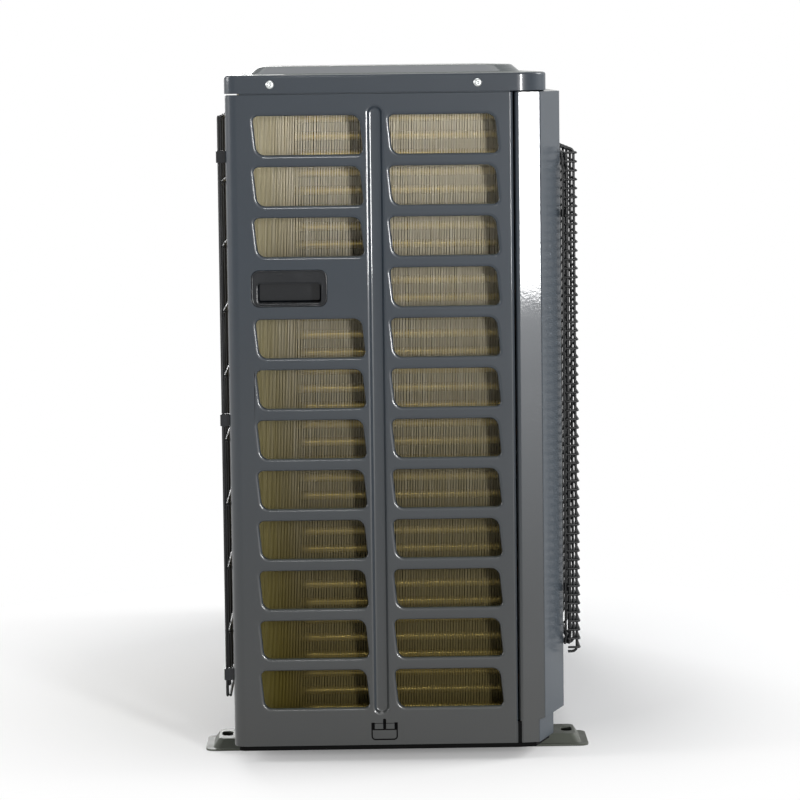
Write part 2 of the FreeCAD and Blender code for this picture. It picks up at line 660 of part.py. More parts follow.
def foot_rail(name, middle):
    """Pressed rail: a flange on the floor, sloping sides, a raised middle with two slots."""
    body = new_body(name)
    half = "foot_length / 2"
    flange = sketch(body, f"{name}_flange", "XY_Plane")
    frame_outline(flange, f"{middle} - foot_width / 2", f"-{half}", f"{middle} + foot_width / 2", half, "foot_corner")
    pad(body, flange, f"{name}_floor", "foot_sheet")

    def level(label, height, side, end, radius):
        drawn = sketch(body, f"{name}_{label}", "XY_Plane", away=height)
        return frame_outline(drawn, f"{middle} - ({side})", f"-({end})", f"{middle} + ({side})", end, radius)

    top_side = "foot_rise / 2"
    low_side = "foot_rise / 2 + foot_slope"
    top_end = f"{half} - foot_lip - foot_slope"
    low_end = f"{half} - foot_lip"
    loft(body, f"{name}_rise", level("rise_low", "0", low_side, low_end, "foot_corner - 2"),
         level("rise_top", "foot_height", top_side, top_end, "foot_corner - 2"))
    loft(body, f"{name}_hollow",
         level("hollow_low", "0", f"{low_side} - foot_sheet", f"{low_end} - foot_sheet", "foot_corner - 4"),
         level("hollow_top", "foot_height - foot_sheet", f"{top_side} - foot_sheet / 2",
               f"{top_end} - foot_sheet / 2", "foot_corner - 4"), "SubtractiveLoft")
    for end, sign in (("front", "-"), ("rear", "")):
        slot = sketch(body, f"{name}_{end}_slot", "XY_Plane", away="foot_height")
        frame_outline(slot, f"{middle} - slot_length / 2", f"{sign}{SLOT_PLACE} - slot_width / 2",
                      f"{middle} + slot_length / 2", f"{sign}{SLOT_PLACE} + slot_width / 2",
                      "slot_width / 2 - 0.02")
        pocket(body, slot, f"{name}_{end}_cut", "foot_height", -1)
    return body


def base_pan():
    """Pressed pan: a set-back foot, an upturned rim inside the panels, compressor seats and a drain hole."""
    body = new_body("base_pan")

    def plan(label, start, side, corner):
        strip = f"({FOOT_STRIP} + ({side}) * {STRIP_ACROSS})"
        strip_end = f"({STRIP_END} + foot_facet + ({side}) * {STRIP_ALONG})"
        run = f"({FOOT_RUN} + ({side}) * {FRONT_SHIFT})"
        seam = f"({SEAM_FRONT} + ({side}) * {LEAN_SHIFT})"
        return outline(sketch(body, label, "XY_Plane", away=start), [
            (f"{LEFT} + {side}", seam), (f"{LEFT} + {strip}", strip_end),
            (f"{LEFT} + {run}", f"{side} - front_face"), (f"{RIGHT} - {run}", f"{side} - front_face"),
            (f"{RIGHT} - {strip}", strip_end), (f"{RIGHT} - {side}", seam),
            (f"{RIGHT} - {side}", f"rear_face - {side}", corner),
            (f"{LEFT} + {side}", f"rear_face - {side}", corner)])

    rim, foot = "(wall + seat)", "(wall + seat + pan_set_back)"
    pad(body, plan("foot_plan", "foot_height", foot, "rear_corner / 2"), "pan_foot", "pan_ledge - foot_height")
    pad(body, plan("rim_plan", "pan_ledge", rim, "rear_corner - 1"), "pan_block", "foot_height + pan_rim - pan_ledge")
    pocket(body, plan("foot_hollow", PAN_FLOOR, f"({foot} + pan_sheet)", "rear_corner / 2 - pan_sheet"),
           "foot_cut", "pan_rim", 1)
    pocket(body, plan("rim_hollow", "pan_ledge + pan_sheet", f"({rim} + pan_sheet)", "rear_corner - 2"),
           "rim_cut", "pan_rim", 1)
    for index, (x, y) in enumerate(compressor_seats(), 1):
        seat = circle(sketch(body, f"seat_plan_{index}", "XY_Plane", away=PAN_FLOOR), x, y, "grommet_width / 2 + 6")
        pad(body, seat, f"seat_{index}", "pan_boss")
    hole = circle(sketch(body, "drain_plan", "XY_Plane", away=PAN_FLOOR), f"{LEFT} + drain_left", "0", "drain_hole / 2")
    pocket(body, hole, "drain", "pan_sheet", -1)
    return body


def compressor_seats():
    """Plan places of the three compressor seats, on a circle round the compressor."""
    return [
        (f"{COMPRESSOR_X} + foot_circle", "compressor_place"),
        (f"{COMPRESSOR_X} - foot_circle / 2", "compressor_place + foot_circle * sqrt(3) / 2"),
        (f"{COMPRESSOR_X} - foot_circle / 2", "compressor_place - foot_circle * sqrt(3) / 2")]


def end_wall(body, inward, end, wrap_end):
    """Sheet along one end of the casing, round the rear corner, with a return at the seam.

    inward is "+" for the coil end and "-" for the valve end, end the place of the outer face.
    """
    plan = sketch(body, f"{body.Name}_plan", "XY_Plane", away="panel_bottom")
    outline(plan, [
        (end, SEAM_REAR), (end, "rear_face", "rear_corner"), (wrap_end, "rear_face"),
        (wrap_end, "rear_face - wall"),
        (f"{end} {inward} wall", "rear_face - wall", "rear_corner - wall"),
        (f"{end} {inward} wall", f"{SEAM_REAR} + wall"),
        (f"{end} {inward} return_depth", f"{SEAM_REAR} + wall"),
        (f"{end} {inward} return_depth", SEAM_REAR)])
    pad(body, plan, f"{body.Name}_sheet", "panel_top - panel_bottom")
    notch = sketch(body, f"{body.Name}_notch", "XY_Plane", away="panel_bottom")
    across = sorted((f"{end} {inward} wall", f"{end} {inward} return_depth"), key=mm)
    frame_outline(notch, across[0], SEAM_REAR, across[1], f"{SEAM_REAR} + wall")
    pocket(body, notch, f"{body.Name}_relief", "foot_height + pan_rim + seat - panel_bottom", 1)
    flange = sketch(body, f"{body.Name}_flange", "XY_Plane", away="panel_top - joggle_height / 2")
    across = sorted((f"{end} {inward} wall", f"{end} {inward} wall * 2"), key=mm)
    frame_outline(flange, across[0], f"{SEAM_REAR} + wall * 2", across[1], "rear_face - rear_corner - wall * 2")
    pad(body, flange, f"{body.Name}_joggle", f"{COVER_UNDER} - seat - panel_top + joggle_height / 2")


def screw_holes(body, face, depth, toward):
    """Two holes for the cover screws through an end face, cut along X."""
    last = None
    for label, along in (("rear", "screw_rear"), ("front", "-screw_front")):
        drawn = sketch(body, f"{body.Name}_{label}_hole", "YZ_Plane", away=face)
        circle(drawn, along, "screw_height", "screw_shank / 2 + screw_play")
        last = pocket(body, drawn, f"{body.Name}_{label}_bore", depth, toward)
    return last


def grip_seat(body, face, toward):
    """A recess for the flange of the hand grip and the hole for its cup."""
    low_y, high_y = "grip_place - grip_width / 2", "grip_place + grip_width / 2"
    low_z, high_z = "grip_height - grip_tall / 2", "grip_height + grip_tall / 2"
    step = "+" if toward > 0 else "-"
    spread = "(seat + wall)"
    backing = sketch(body, f"{body.Name}_grip_back", "YZ_Plane", away=f"{face} {step} wall")
    frame_outline(backing, f"{low_y} - {spread}", f"{low_z} - {spread}", f"{high_y} + {spread}",
                  f"{high_z} + {spread}", "grip_corner + 1")
    pad(body, backing, f"{body.Name}_grip_step", "grip_flange", toward)
    recess = sketch(body, f"{body.Name}_grip_recess", "YZ_Plane", away=face)
    frame_outline(recess, f"{low_y} - seat", f"{low_z} - seat", f"{high_y} + seat", f"{high_z} + seat", "grip_corner")
    pocket(body, recess, f"{body.Name}_grip_sink", "grip_flange", toward)
    hole = sketch(body, f"{body.Name}_grip_hole", "YZ_Plane", away=face)
    frame_outline(hole, f"{low_y} + grip_lap", f"{low_z} + grip_lap", f"{high_y} - grip_lap",
                  f"{high_z} - grip_lap", "grip_corner - grip_lap")
    pocket(body, hole, f"{body.Name}_grip_cut", "grip_flange + wall * 2", toward)


def left_side_panel():
    """Coil-end panel: two columns of leaning slots, a pressed groove, a grip recess and a hook slot."""
    body = new_body("left_side_panel")
    end_wall(body, "+", LEFT, f"{LEFT} + left_wrap")
    groove_back = sketch(body, "groove_back", "YZ_Plane", away=f"{LEFT} + wall")
    frame_outline(groove_back, "groove_place - groove_width / 2 - wall", "groove_bottom - wall",
                  "groove_place + groove_width / 2 + wall", "groove_top + wall", "groove_width / 2 + wall - 0.1")
    pad(body, groove_back, "groove_press", "groove_depth")
    groove = sketch(body, "groove_front", "YZ_Plane", away=LEFT)
    frame_outline(groove, "groove_place - groove_width / 2", "groove_bottom", "groove_place + groove_width / 2",
                  "groove_top", "groove_width / 2 - 0.1")
    pocket(body, groove, "groove_cut", "groove_depth", 1)

    def slot(label, rear, top, rows):
        drawn = sketch(body, f"{label}_slot", "YZ_Plane", away=LEFT)
        front = f"({rear} - vent_width)"
        low = f"({top} - vent_height)"
        outline(drawn, [
            (front, top, "vent_large"), (rear, top, "vent_small"),
            (f"{rear} - vent_lean", low, "vent_large"), (f"{front} - vent_lean", low, "vent_small")])
        cut = pocket(body, drawn, f"{label}_cut", "wall * 2", 1)
        repeat(body, cut, f"{label}_row", "Z_Axis", f"vent_pitch * ({rows} - 1)", rows, back=True)

    slot("upper_rear", "vent_rear", "vent_top", "3")
    slot("lower_rear", "vent_rear", "(vent_top - vent_pitch * 4)", "(vent_rows - 4)")
    slot("front", "(vent_width - vent_front)", "vent_top", "vent_rows")
    grip_seat(body, LEFT, 1)
    low, high = "hook_place - hook_width / 2", "hook_place + hook_width / 2"
    top = "hook_bottom + hook_height"
    rest = f"{top} - hook_opening"
    tab = sketch(body, "hook_tab", "YZ_Plane", away=LEFT)
    outline(tab, [(low, "hook_bottom", "hook_gap"), (high, "hook_bottom", "hook_gap"), (high, rest), (low, rest)])
    pocket(body, tab, "hook_press", "wall / 2", 1)
    hook = sketch(body, "hook_windows", "YZ_Plane", away=LEFT)
    frame_outline(hook, low, rest, f"{low} + hook_gap", top)
    frame_outline(hook, f"{high} - hook_gap", rest, high, top)
    frame_outline(hook, "hook_place - hook_key / 2", rest, "hook_place + hook_key / 2", f"{rest} + hook_key_tall",
                  "hook_key / 2 - 0.1")
    pocket(body, hook, "hook_cut", "wall", 1)
    screw_holes(body, LEFT, "wall * 3", 1)
    return body


def hand_grip(name, face, toward):
    """Moulded grip: a flange, a cup behind the panel and a cavity that rises behind the flange."""
    body = new_body(name)
    step = "+" if toward > 0 else "-"
    low_y, high_y = "grip_place - grip_width / 2", "grip_place + grip_width / 2"
    low_z, high_z = "grip_height - grip_tall / 2", "grip_height + grip_tall / 2"
    flange = sketch(body, f"{name}_flange", "YZ_Plane", away=face)
    frame_outline(flange, low_y, low_z, high_y, high_z, "grip_corner - seat")
    pad(body, flange, f"{name}_plate", "grip_flange", toward)
    inset = "(grip_lap + seat)"
    cup = sketch(body, f"{name}_cup", "YZ_Plane", away=f"{face} {step} grip_flange")
    frame_outline(cup, f"{low_y} + {inset}", f"{low_z} + {inset}", f"{high_y} - {inset}", f"{high_z} - {inset}",
                  "grip_corner - grip_lap - seat")
    pad(body, cup, f"{name}_block", "grip_cup - grip_flange", toward)
    mouth_y = "mouth_width / 2"
    mouth_z = f"({low_z} + mouth_low)"
    mouth = sketch(body, f"{name}_mouth", "YZ_Plane", away=face)
    frame_outline(mouth, f"grip_place - {mouth_y}", mouth_z, f"grip_place + {mouth_y}", f"{mouth_z} + mouth_tall", "3")
    pocket(body, mouth, f"{name}_opening", "grip_cup - grip_shell", toward)
    rise = sketch(body, f"{name}_rise", "YZ_Plane", away=f"{face} {step} grip_flange * 2")
    frame_outline(rise, f"grip_place - {mouth_y}", f"{mouth_z} + mouth_tall / 2", f"grip_place + {mouth_y}",
                  f"{high_z} - {inset} - grip_shell")
    pocket(body, rise, f"{name}_undercut", "grip_cup - grip_shell - grip_flange * 2", toward)
    return body


def front_shell(body, outer, joint, outward):
    """A front panel part: a leaning corner strip, a slanted corner and a raised face over a set-back foot.

    outer is the end face, joint the place of the free edge, outward "-" at the coil end.
    """
    name = body.Name
    inward = "+" if outward == "-" else "-"

    def plan(label, start, skin, raised):
        across, along = f"({skin}) * {STRIP_ACROSS}", f"({skin}) * {STRIP_ALONG}"
        if raised:
            strip, strip_end, run, face = "strip_lean", STRIP_END, "corner_facet", BULGE_FACE
        else:
            strip, strip_end, run, face = FOOT_STRIP, f"{STRIP_END} + foot_facet", FOOT_RUN, "-front_face"
        return outline(sketch(body, f"{name}_{label}", "XY_Plane", away=start), [
            (f"{outer} {inward} ({skin}) * {SEAM_SHIFT}", f"{SEAM_FRONT} - ({skin})", f"seam_round - ({skin})"),
            (f"{outer} {inward} ({strip} + {across})", f"{strip_end} + {along}"),
            (f"{outer} {inward} ({run} + ({skin}) * {FRONT_SHIFT})", f"{face} + ({skin})"),
            (joint, f"{face} + ({skin})"), (joint, f"{SEAM_FRONT} - ({skin})")])

    step = "(bulge_foot - bulge_slope)"
    pad(body, plan("foot", "panel_bottom", "0", False), f"{name}_foot_pad", f"{step} - panel_bottom")
    loft(body, f"{name}_step", plan("step_low", step, "0", False), plan("step_high", "bulge_foot", "0", True))
    pad(body, plan("face", "bulge_foot", "0", True), f"{name}_face_pad", "panel_top - bulge_foot")
    pocket(body, plan("foot_hollow", "panel_bottom", "wall", False), f"{name}_foot_inside",
           f"{step} + wall - panel_bottom", 1)
    loft(body, f"{name}_step_inside", plan("hollow_low", f"{step} + wall", "wall", False),
         plan("hollow_high", "bulge_foot + wall", "wall", True), "SubtractiveLoft")
    pocket(body, plan("face_hollow", "bulge_foot + wall", "wall", True), f"{name}_face_inside",
           "panel_top - bulge_foot - wall * 2", 1)
    corners = sorted((f"{outer} {inward} (wall + return_depth)", joint), key=mm)
    trim = sketch(body, f"{name}_trim", "XY_Plane", away="panel_bottom")
    frame_outline(trim, corners[0], "return_depth - front_face", corners[1], SEAM_FRONT)
    pocket(body, trim, f"{name}_returns", "panel_top - panel_bottom", 1)
    corners = sorted((f"{outer} {inward} wall", f"{outer} {inward} (wall + return_depth)"), key=mm)
    notch = sketch(body, f"{name}_notch", "XY_Plane", away="panel_bottom")
    frame_outline(notch, corners[0], f"{SEAM_FRONT} - seam_round", corners[1], SEAM_FRONT)
    pocket(body, notch, f"{name}_relief", "foot_height + pan_rim + seat - panel_bottom", 1)
    ends = sorted((f"{outer} {inward} cover_corner", joint), key=mm)
    flange = sketch(body, f"{name}_flange", "XY_Plane", away="panel_top - wall")
    frame_outline(flange, ends[0], "cover_sheet + seat - cover_front", ends[1],
                  "cover_sheet + seat + wall - cover_front")
    pad(body, flange, f"{name}_joggle", f"{COVER_UNDER} - seat - panel_top + wall")


def front_panel():
    """Fan-side front: shell with the round air outlet."""
    body = new_body("front_panel")
    front_shell(body, LEFT, f"({LEFT} + fan_panel_width)", "-")
    outlet = sketch(body, "outlet_circle", "XZ_Plane", away="front_face")
    circle(outlet, FAN_X, FAN_Z, "outlet_bore / 2")
    pocket(body, outlet, "outlet", "bulge_depth * 2", 1)
    return body


def service_panel():
    """Removable front part before the machine bay, with the other slanted corner."""
    body = new_body("service_panel")
    front_shell(body, RIGHT, f"({LEFT} + fan_panel_width + seam_gap)", "+")
    return body


def right_side_panel():
    """Valve-end panel: round the rear of the machine bay, with louvre slots, grip and valve window."""
    body = new_body("right_side_panel")
    end_wall(body, "-", RIGHT, f"{COIL_RIGHT} + end_plate + seat * 2")
    grip_seat(body, RIGHT, -1)
    window = sketch(body, "valve_window", "YZ_Plane", away=RIGHT)
    frame_outline(window, "bracket_place - bracket_width / 2 + 8", "bracket_low + 8",
                  "bracket_place + bracket_width / 2 - 8", "bracket_low + bracket_tall - 8", "6")
    pocket(body, window, "window_cut", "wall", -1)
    wires = sketch(body, "wire_window", "YZ_Plane", away=RIGHT)
    frame_outline(wires, "bracket_place - terminal_length / 2", "terminal_height - 22",
                  "bracket_place + terminal_length / 2", "terminal_height + 22", "4")
    pocket(body, wires, "wire_cut", "wall", -1)
    louvre = sketch(body, "louvre", "XZ_Plane", away="-rear_face")
    frame_outline(louvre, f"{COIL_RIGHT} + 90", "panel_top - 92", f"{RIGHT} - 90", "panel_top - 86")
    cut = pocket(body, louvre, "louvre_cut", "wall", 1)
    repeat(body, cut, "louvre_row", "Z_Axis", "16 * 7", "8", back=True)
    screw_holes(body, RIGHT, "wall * 3", -1)
    return body


def cover_plan(body, label, start, inset, corner):
    """Plan of the cover, moved in from its edge by inset."""
    side = f"(cover_overhang - ({inset}))"
    return outline(sketch(body, label, "XY_Plane", away=start), [
        (f"{LEFT} - {side}", f"({inset}) - cover_front", f"{corner}"),
        (f"{RIGHT} + {side}", f"({inset}) - cover_front", f"{corner}"),
        (f"{RIGHT} + {side}", f"rear_face + {side}", "rear_corner"),
        (f"{LEFT} - {side}", f"rear_face + {side}", "rear_corner")])


def top_cover():
    """Pressed cover: a skirt over the panels and a raised middle with sloping edges."""
    body = new_body("top_cover")
    plan = cover_plan(body, "cover_plan", "cover_skirt", "0", "cover_corner")
    pad(body, plan, "cover_block", "cover_top - cover_skirt")
    low = cover_plan(body, "rise_low", "cover_top", "cover_border", "cover_corner")
    high = cover_plan(body, "rise_high", "cover_top + cover_rise", "cover_border + cover_slope", "cover_corner")
    loft(body, "cover_raise", low, high)
    inner = cover_plan(body, "cover_inner", "cover_skirt", "cover_sheet", "cover_corner - cover_sheet")
    pocket(body, inner, "cover_hollow", "cover_top - cover_sheet - cover_skirt", 1)
    low = cover_plan(body, "hollow_low", COVER_UNDER, "cover_border", "cover_corner")
    high = cover_plan(body, "hollow_high", "cover_top + cover_rise - cover_sheet",
                      "cover_border + cover_slope + cover_sheet / 2", "cover_corner")
    loft(body, "cover_raise_inside", low, high, "SubtractiveLoft")
    screw_holes(body, f"{LEFT} - cover_overhang", "cover_sheet * 2", 1)
    for label, along in (("rear", "screw_rear"), ("front", "-screw_front")):
        drawn = sketch(body, f"valve_end_{label}_hole", "YZ_Plane", away=f"{RIGHT} + cover_overhang")
        circle(drawn, along, "screw_height", "screw_shank / 2 + screw_play")
        pocket(body, drawn, f"valve_end_{label}_bore", "cover_sheet * 2", -1)
    return body


def cover_screws():
    """Pan-head screws through the skirt of the cover, two at each end."""
    screws = []
    for side, face, out in (("left", f"{LEFT} - cover_overhang", "-"), ("right", f"{RIGHT} + cover_overhang", "+")):
        for label, along in (("rear", "screw_rear"), ("front", "-screw_front")):
            name = f"{side}_{label}_screw"
            if out == "-":
                head_start, shank_start = f"{face} - screw_head_height", face
            else:
                head_start, shank_start = face, f"{face} - screw_length"
            head = cylinder(f"{name}_head", "X", (head_start, along, "screw_height"), "screw_head_height", "screw_head")
            shank = prism(f"{name}_shank", "X", (shank_start, along, "screw_height"), "screw_length", "screw_shank - 0.4")
            screws.append(joined(name, [head, shank]))
    return keep("cover_screws", grouped("cover_screws", screws))


def fan_guard():
    """Wire guard: cross wires bent back at both ends over a frame of two rods, uprights behind them, feet."""
    left, right = mm(f"{LEFT} + guard_left"), mm(f"{LEFT} + guard_left + guard_width")
    bottom, top = mm("guard_bottom"), mm("guard_bottom + guard_height")
    wire, upright, rod, thin = mm("guard_wire"), mm("guard_upright"), mm("guard_frame"), mm("guard_backing")
    cut, play = mm("guard_cut"), mm("seat") / 3
    front = mm(BULGE_FACE) - mm("guard_stand") + wire / 2
    foot = mm(BULGE_FACE) - mm("seat")
    thin_place = foot - mm("guard_lift") - thin / 2
    rod_place = thin_place - thin / 2 - mm("guard_gap") - rod / 2
    back = rod_place + rod / 2
    solids = []
    count = int((top - bottom - 2 * upright) / mm("guard_pitch"))
    first = (top + bottom - count * mm("guard_pitch")) / 2
    reach = wire / 2
    for index in range(count + 1):
        level = first + index * mm("guard_pitch")
        solids += straight_lengths([
            FreeCAD.Vector(left + reach, back, level), FreeCAD.Vector(left + reach, front, level),
            FreeCAD.Vector(right - reach, front, level), FreeCAD.Vector(right - reach, back, level)], wire)
    behind = front + wire / 2 + upright / 2
    low, high = bottom + upright / 2, top - upright / 2
    spaces = int(mm("guard_columns")) + 1
    end = wire + upright / math.sqrt(3) + play
    places = [left + end, *(left + (right - left) * index / spaces for index in range(1, spaces)), right - end]
    for x in places:
        solids += straight_lengths([
            FreeCAD.Vector(x, back, low), FreeCAD.Vector(x, behind + cut, low),
            FreeCAD.Vector(x, behind, low + cut), FreeCAD.Vector(x, behind, high - cut),
            FreeCAD.Vector(x, behind + cut, high), FreeCAD.Vector(x, back, high)], upright, turn=0)
    solids += rod_frame(thin_place, thin, left, right, bottom, top)
    solids += rod_frame(rod_place, rod, left, right, bottom, top)
    solids += guard_feet(foot, rod_place - rod / 2, left, right, bottom, top)
    return shaped("fan_guard", Part.makeCompound(solids))


def guard_feet(near, far, left, right, bottom, top):
    """Flat feet inside the frame rods, two on each side, from the casing to the front of the rods."""
    size, rod, play = mm("guard_foot"), mm("guard_frame"), mm("seat") / 3
    thick = rod / 2
    aside = mm("guard_wire") + rod * 2 / math.sqrt(3) + play * 2
    below = mm("guard_upright") * 2 + rod * 2 / math.sqrt(3) + play * 2
    feet = []
    for share in (0.13, 0.87):
        x = left + (right - left) * share - size / 2
        z = bottom + (top - bottom) * share - size / 2
        for corner, wide, tall in ((left + aside, thick, size), (right - aside - thick, thick, size)):
            feet.append(Part.makeBox(wide, near - far, tall, FreeCAD.Vector(corner, far, z)))
        for corner, wide, tall in ((bottom + below, size, thick), (top - below - thick, size, thick)):
            feet.append(Part.makeBox(wide, near - far, tall, FreeCAD.Vector(x, far, corner)))
    return feet


def rod_frame(depth, rod, left, right, bottom, top):
    """A rod bent to a rectangle with cut corners, in eight straight lengths with mitred ends."""
    cut, play = mm("guard_chamfer"), mm("seat") / 3
    inset = mm("guard_wire") + rod / math.sqrt(3) + play
    low_x, high_x = left + inset, right - inset
    inset = mm("guard_upright") * 2 + rod / math.sqrt(3) + play
    low_z, high_z = bottom + inset, top - inset
    corners = [
        FreeCAD.Vector(low_x, depth, low_z + cut), FreeCAD.Vector(low_x, depth, high_z - cut),
        FreeCAD.Vector(low_x + cut, depth, high_z), FreeCAD.Vector(high_x - cut, depth, high_z),
        FreeCAD.Vector(high_x, depth, high_z - cut), FreeCAD.Vector(high_x, depth, low_z + cut),
        FreeCAD.Vector(high_x - cut, depth, low_z), FreeCAD.Vector(low_x + cut, depth, low_z)]
    return straight_lengths(corners, rod, closed=True)


def rear_guard():
    """Welded wire net behind the coil: cross wires next to the casing, uprights over them."""
    left, right = mm(f"{LEFT} + rear_left"), mm(f"{LEFT} + rear_left + rear_width")
    bottom, top = mm("rear_low"), mm("rear_low + rear_tall")
    wire = mm("rear_wire")
    near = mm("rear_face + rear_stand")
    far = near + wire
    rows, columns = int(mm("rear_rows")), int(mm("rear_columns"))
    solids = []
    for index in range(columns):
        x = left + wire / 2 + (right - left - wire) * index / (columns - 1)
        solids.append(bent_wire([FreeCAD.Vector(x, far, bottom), FreeCAD.Vector(x, far, top)], wire))
    for index in range(rows):
        level = bottom + wire / 2 + (top - bottom - wire) * index / (rows - 1)
        solids.append(bent_wire([FreeCAD.Vector(left, near, level), FreeCAD.Vector(right, near, level)], wire))
    return shaped("rear_guard", Part.makeCompound(solids))


def guard_clips():
    """Clips that hold the rear guard: a foot on the casing and a jaw round the end upright."""
    clips = []
    for side, x, inward in (("left", f"({LEFT} + rear_left + rear_wire / 2)", 1),
                            ("right", f"({LEFT} + rear_left + rear_width - rear_wire / 2)", -1)):
        for level_name, share in (("low", "0.04"), ("middle", "0.48"), ("high", "0.93")):
            name = f"{side}_{level_name}_clip"
            level = f"(rear_low + rear_tall * {share})"
            outer = block(f"{name}_block", (f"{x} - 5", "rear_face", f"{level} - 6"),
                          (f"{x} + 5", "rear_face + rear_stand + rear_wire * 1.5 + 1.2", f"{level} + 6"))
            way = block(f"{name}_way", (f"{x} - rear_wire / 2 - 0.3", "rear_face + rear_stand + rear_wire / 2 - 0.3",
                                        f"{level} - 7"),
                        (f"{x} + rear_wire / 2 + 0.3", "rear_face + rear_stand + rear_wire * 1.5 + 2", f"{level} + 7"))
            clips.append(without(name, outer, [way]))
    return keep("guard_clips", grouped("guard_clips", clips))


def fan_shroud():
    """Pressed ring: a flange behind the front panel, a throat round the fan and a flared inner end."""
    front = f"({BULGE_FACE} + wall)"
    back = f"({front} + shroud_length)"
    throat = "shroud_bore / 2"
    lead = "8"
    return turned("fan_shroud", "Y", (FAN_X, "0", FAN_Z), [
        (front, f"{throat} + {lead} + 2"), (front, "shroud_flange"),
        (f"{front} + shroud_sheet", "shroud_flange"),
        (f"{front} + shroud_sheet", f"{throat} + {lead} + 2", "4"),
        (f"{front} + {lead} + 8", f"{throat} + shroud_sheet"),
        (f"{back} - shroud_flare", f"{throat} + shroud_sheet", "8"),
        (back, f"{throat} + shroud_sheet + shroud_flare"),
        (back, f"{throat} + shroud_flare", ),
        (f"{back} - shroud_flare", throat, "9"),
        (f"{front} + {lead} + 8", throat)])


def axial_fan():
    """Three swept blades of changing pitch on a hollow hub with a boss for the shaft."""
    hub_radius, tip_radius = mm("hub_width / 2"), mm("fan_bore / 2")
    front, rear = -mm("hub_front"), -mm("hub_front") + mm("hub_length")
    shell, boss = mm("hub_shell"), mm("hub_boss / 2")
    axis = FreeCAD.Vector(0, 1, 0)
    hub = Part.makeCylinder(hub_radius, rear - front, FreeCAD.Vector(0, front, 0), axis)
    hollow = Part.makeCylinder(hub_radius - shell, rear - front, FreeCAD.Vector(0, front + shell, 0), axis)
    post = Part.makeCylinder(boss, rear - front - shell * 2, FreeCAD.Vector(0, front + shell / 2, 0), axis)
    blades = []
    stations = 5
    for index in range(stations):
        share = index / (stations - 1)
        radius = hub_radius - shell / 2 + (tip_radius + 12 - hub_radius) * share
        chord = mm("blade_root") + (mm("blade_tip") - mm("blade_root")) * share ** 0.8
        turn = math.radians(mm("blade_pitch_root") + (mm("blade_pitch_tip") - mm("blade_pitch_root")) * share)
        shift = -mm("blade_sweep") * share ** 1.5
        blades.append(blade_section(radius, chord, turn, shift))
    blade = Part.makeLoft(blades, True, False)
    reach = mm("hub_length")
    ring = Part.makeCylinder(tip_radius, reach * 4, FreeCAD.Vector(0, front - reach, 0), axis)
    core = Part.makeCylinder(hub_radius - shell / 2, reach * 4, FreeCAD.Vector(0, front - reach, 0), axis)
    blade = blade.common(ring.cut(core))
    count = int(mm("blade_count"))
    turned_blades = []
    for index in range(count):
        copy = blade.copy()
        copy.rotate(FreeCAD.Vector(), axis, 360 * index / count)
        turned_blades.append(copy)
    bore = Part.makeCylinder(mm("shaft_width / 2 + running_play"), rear - front,
                             FreeCAD.Vector(0, front + shell, 0), axis)
    nose = Part.makeCylinder(mm("shaft_thread / 2 + running_play"), rear - front,
                             FreeCAD.Vector(0, front - shell, 0), axis)
    fan = hub.cut(hollow).fuse([post, *turned_blades]).cut([bore, nose]).removeSplitter()
    fan.translate(vector(FAN_X, 0, FAN_Z))
    return shaped("axial_fan", fan.Solids[0])


def blade_section(radius, chord, turn, shift):
    """A cambered section square to the blade's radius: two arcs that meet at its edges."""
    middle = -mm("blade_front")
    thick = mm("blade_wall")
    camber = chord * 0.09

    def spot(along, bow):
        across = along * math.cos(turn) - bow * math.sin(turn) + shift
        depth = along * math.sin(turn) + bow * math.cos(turn)
        return FreeCAD.Vector(across, middle + depth, radius)

    ends = spot(-chord / 2, 0), spot(chord / 2, 0)
    over = Part.Arc(ends[0], spot(0, camber + thick / 2), ends[1]).toShape()
    under = Part.Arc(ends[1], spot(0, camber - thick / 2), ends[0]).toShape()
    return Part.Wire([over, under])


def fan_nut():
    """Hexagon nut that holds the hub on the shaft."""
    body = prism("fan_nut_block", "Y", (FAN_X, "-hub_front - nut_height", FAN_Z), "nut_height", "nut_flats")
    bore = cylinder("fan_nut_bore", "Y", (FAN_X, "-hub_front - nut_height - 1", FAN_Z), "nut_height + 2",
                    "shaft_thread + running_play * 2")
    return keep("fan_nut", without("fan_nut", body, [bore]))


def fan_shaft():
    """Stepped shaft from inside the motor to the nut."""
    inner = "(motor_rear - lug_plate - 8)"
    return turned("fan_shaft", "Y", (FAN_X, "0", FAN_Z), [
        ("-hub_front - nut_height - 3", "0"), (inner, "0"), (inner, "shaft_width / 2"),
        ("hub_shell - hub_front", "shaft_width / 2"), ("hub_shell - hub_front", "shaft_thread / 2"),
        ("-hub_front - nut_height - 3", "shaft_thread / 2")])


def fan_motor():
    """Moulded motor: a ribbed drum, a nose with the shaft bore and a square mounting plate."""
    body = new_body("fan_motor")
    drawn = sketch(body, "motor_profile", "YZ_Plane", away=FAN_X, up=FAN_Z)
    bore = "(shaft_width / 2 + running_play)"
    depth = "(motor_rear - lug_plate - 7)"
    outline(drawn, [
        ("-motor_front - motor_nose", bore), ("-motor_front - motor_nose", "22"),
        ("-motor_front", "22"), ("-motor_front", "motor_width / 2", "8"),
        ("motor_rear - lug_plate", "motor_width / 2"), ("motor_rear - lug_plate", "0"), (depth, "0"), (depth, bore)])
    made = body.newObject("PartDesign::Revolution", "motor_drum")
    made.Profile = drawn
    made.ReferenceAxis = (drawn, ["H_Axis"])
    made.Angle = 360
    plate = sketch(body, "motor_plate", "XZ_Plane", away="-motor_rear")
    half = "motor_lugs / 2"
    frame_outline(plate, f"{FAN_X} - {half}", f"{FAN_Z} - {half} * 0.8", f"{FAN_X} + {half}",
                  f"{FAN_Z} + {half} * 0.8", "10")
    pad(body, plate, "motor_lug_plate", "lug_plate")
    return body


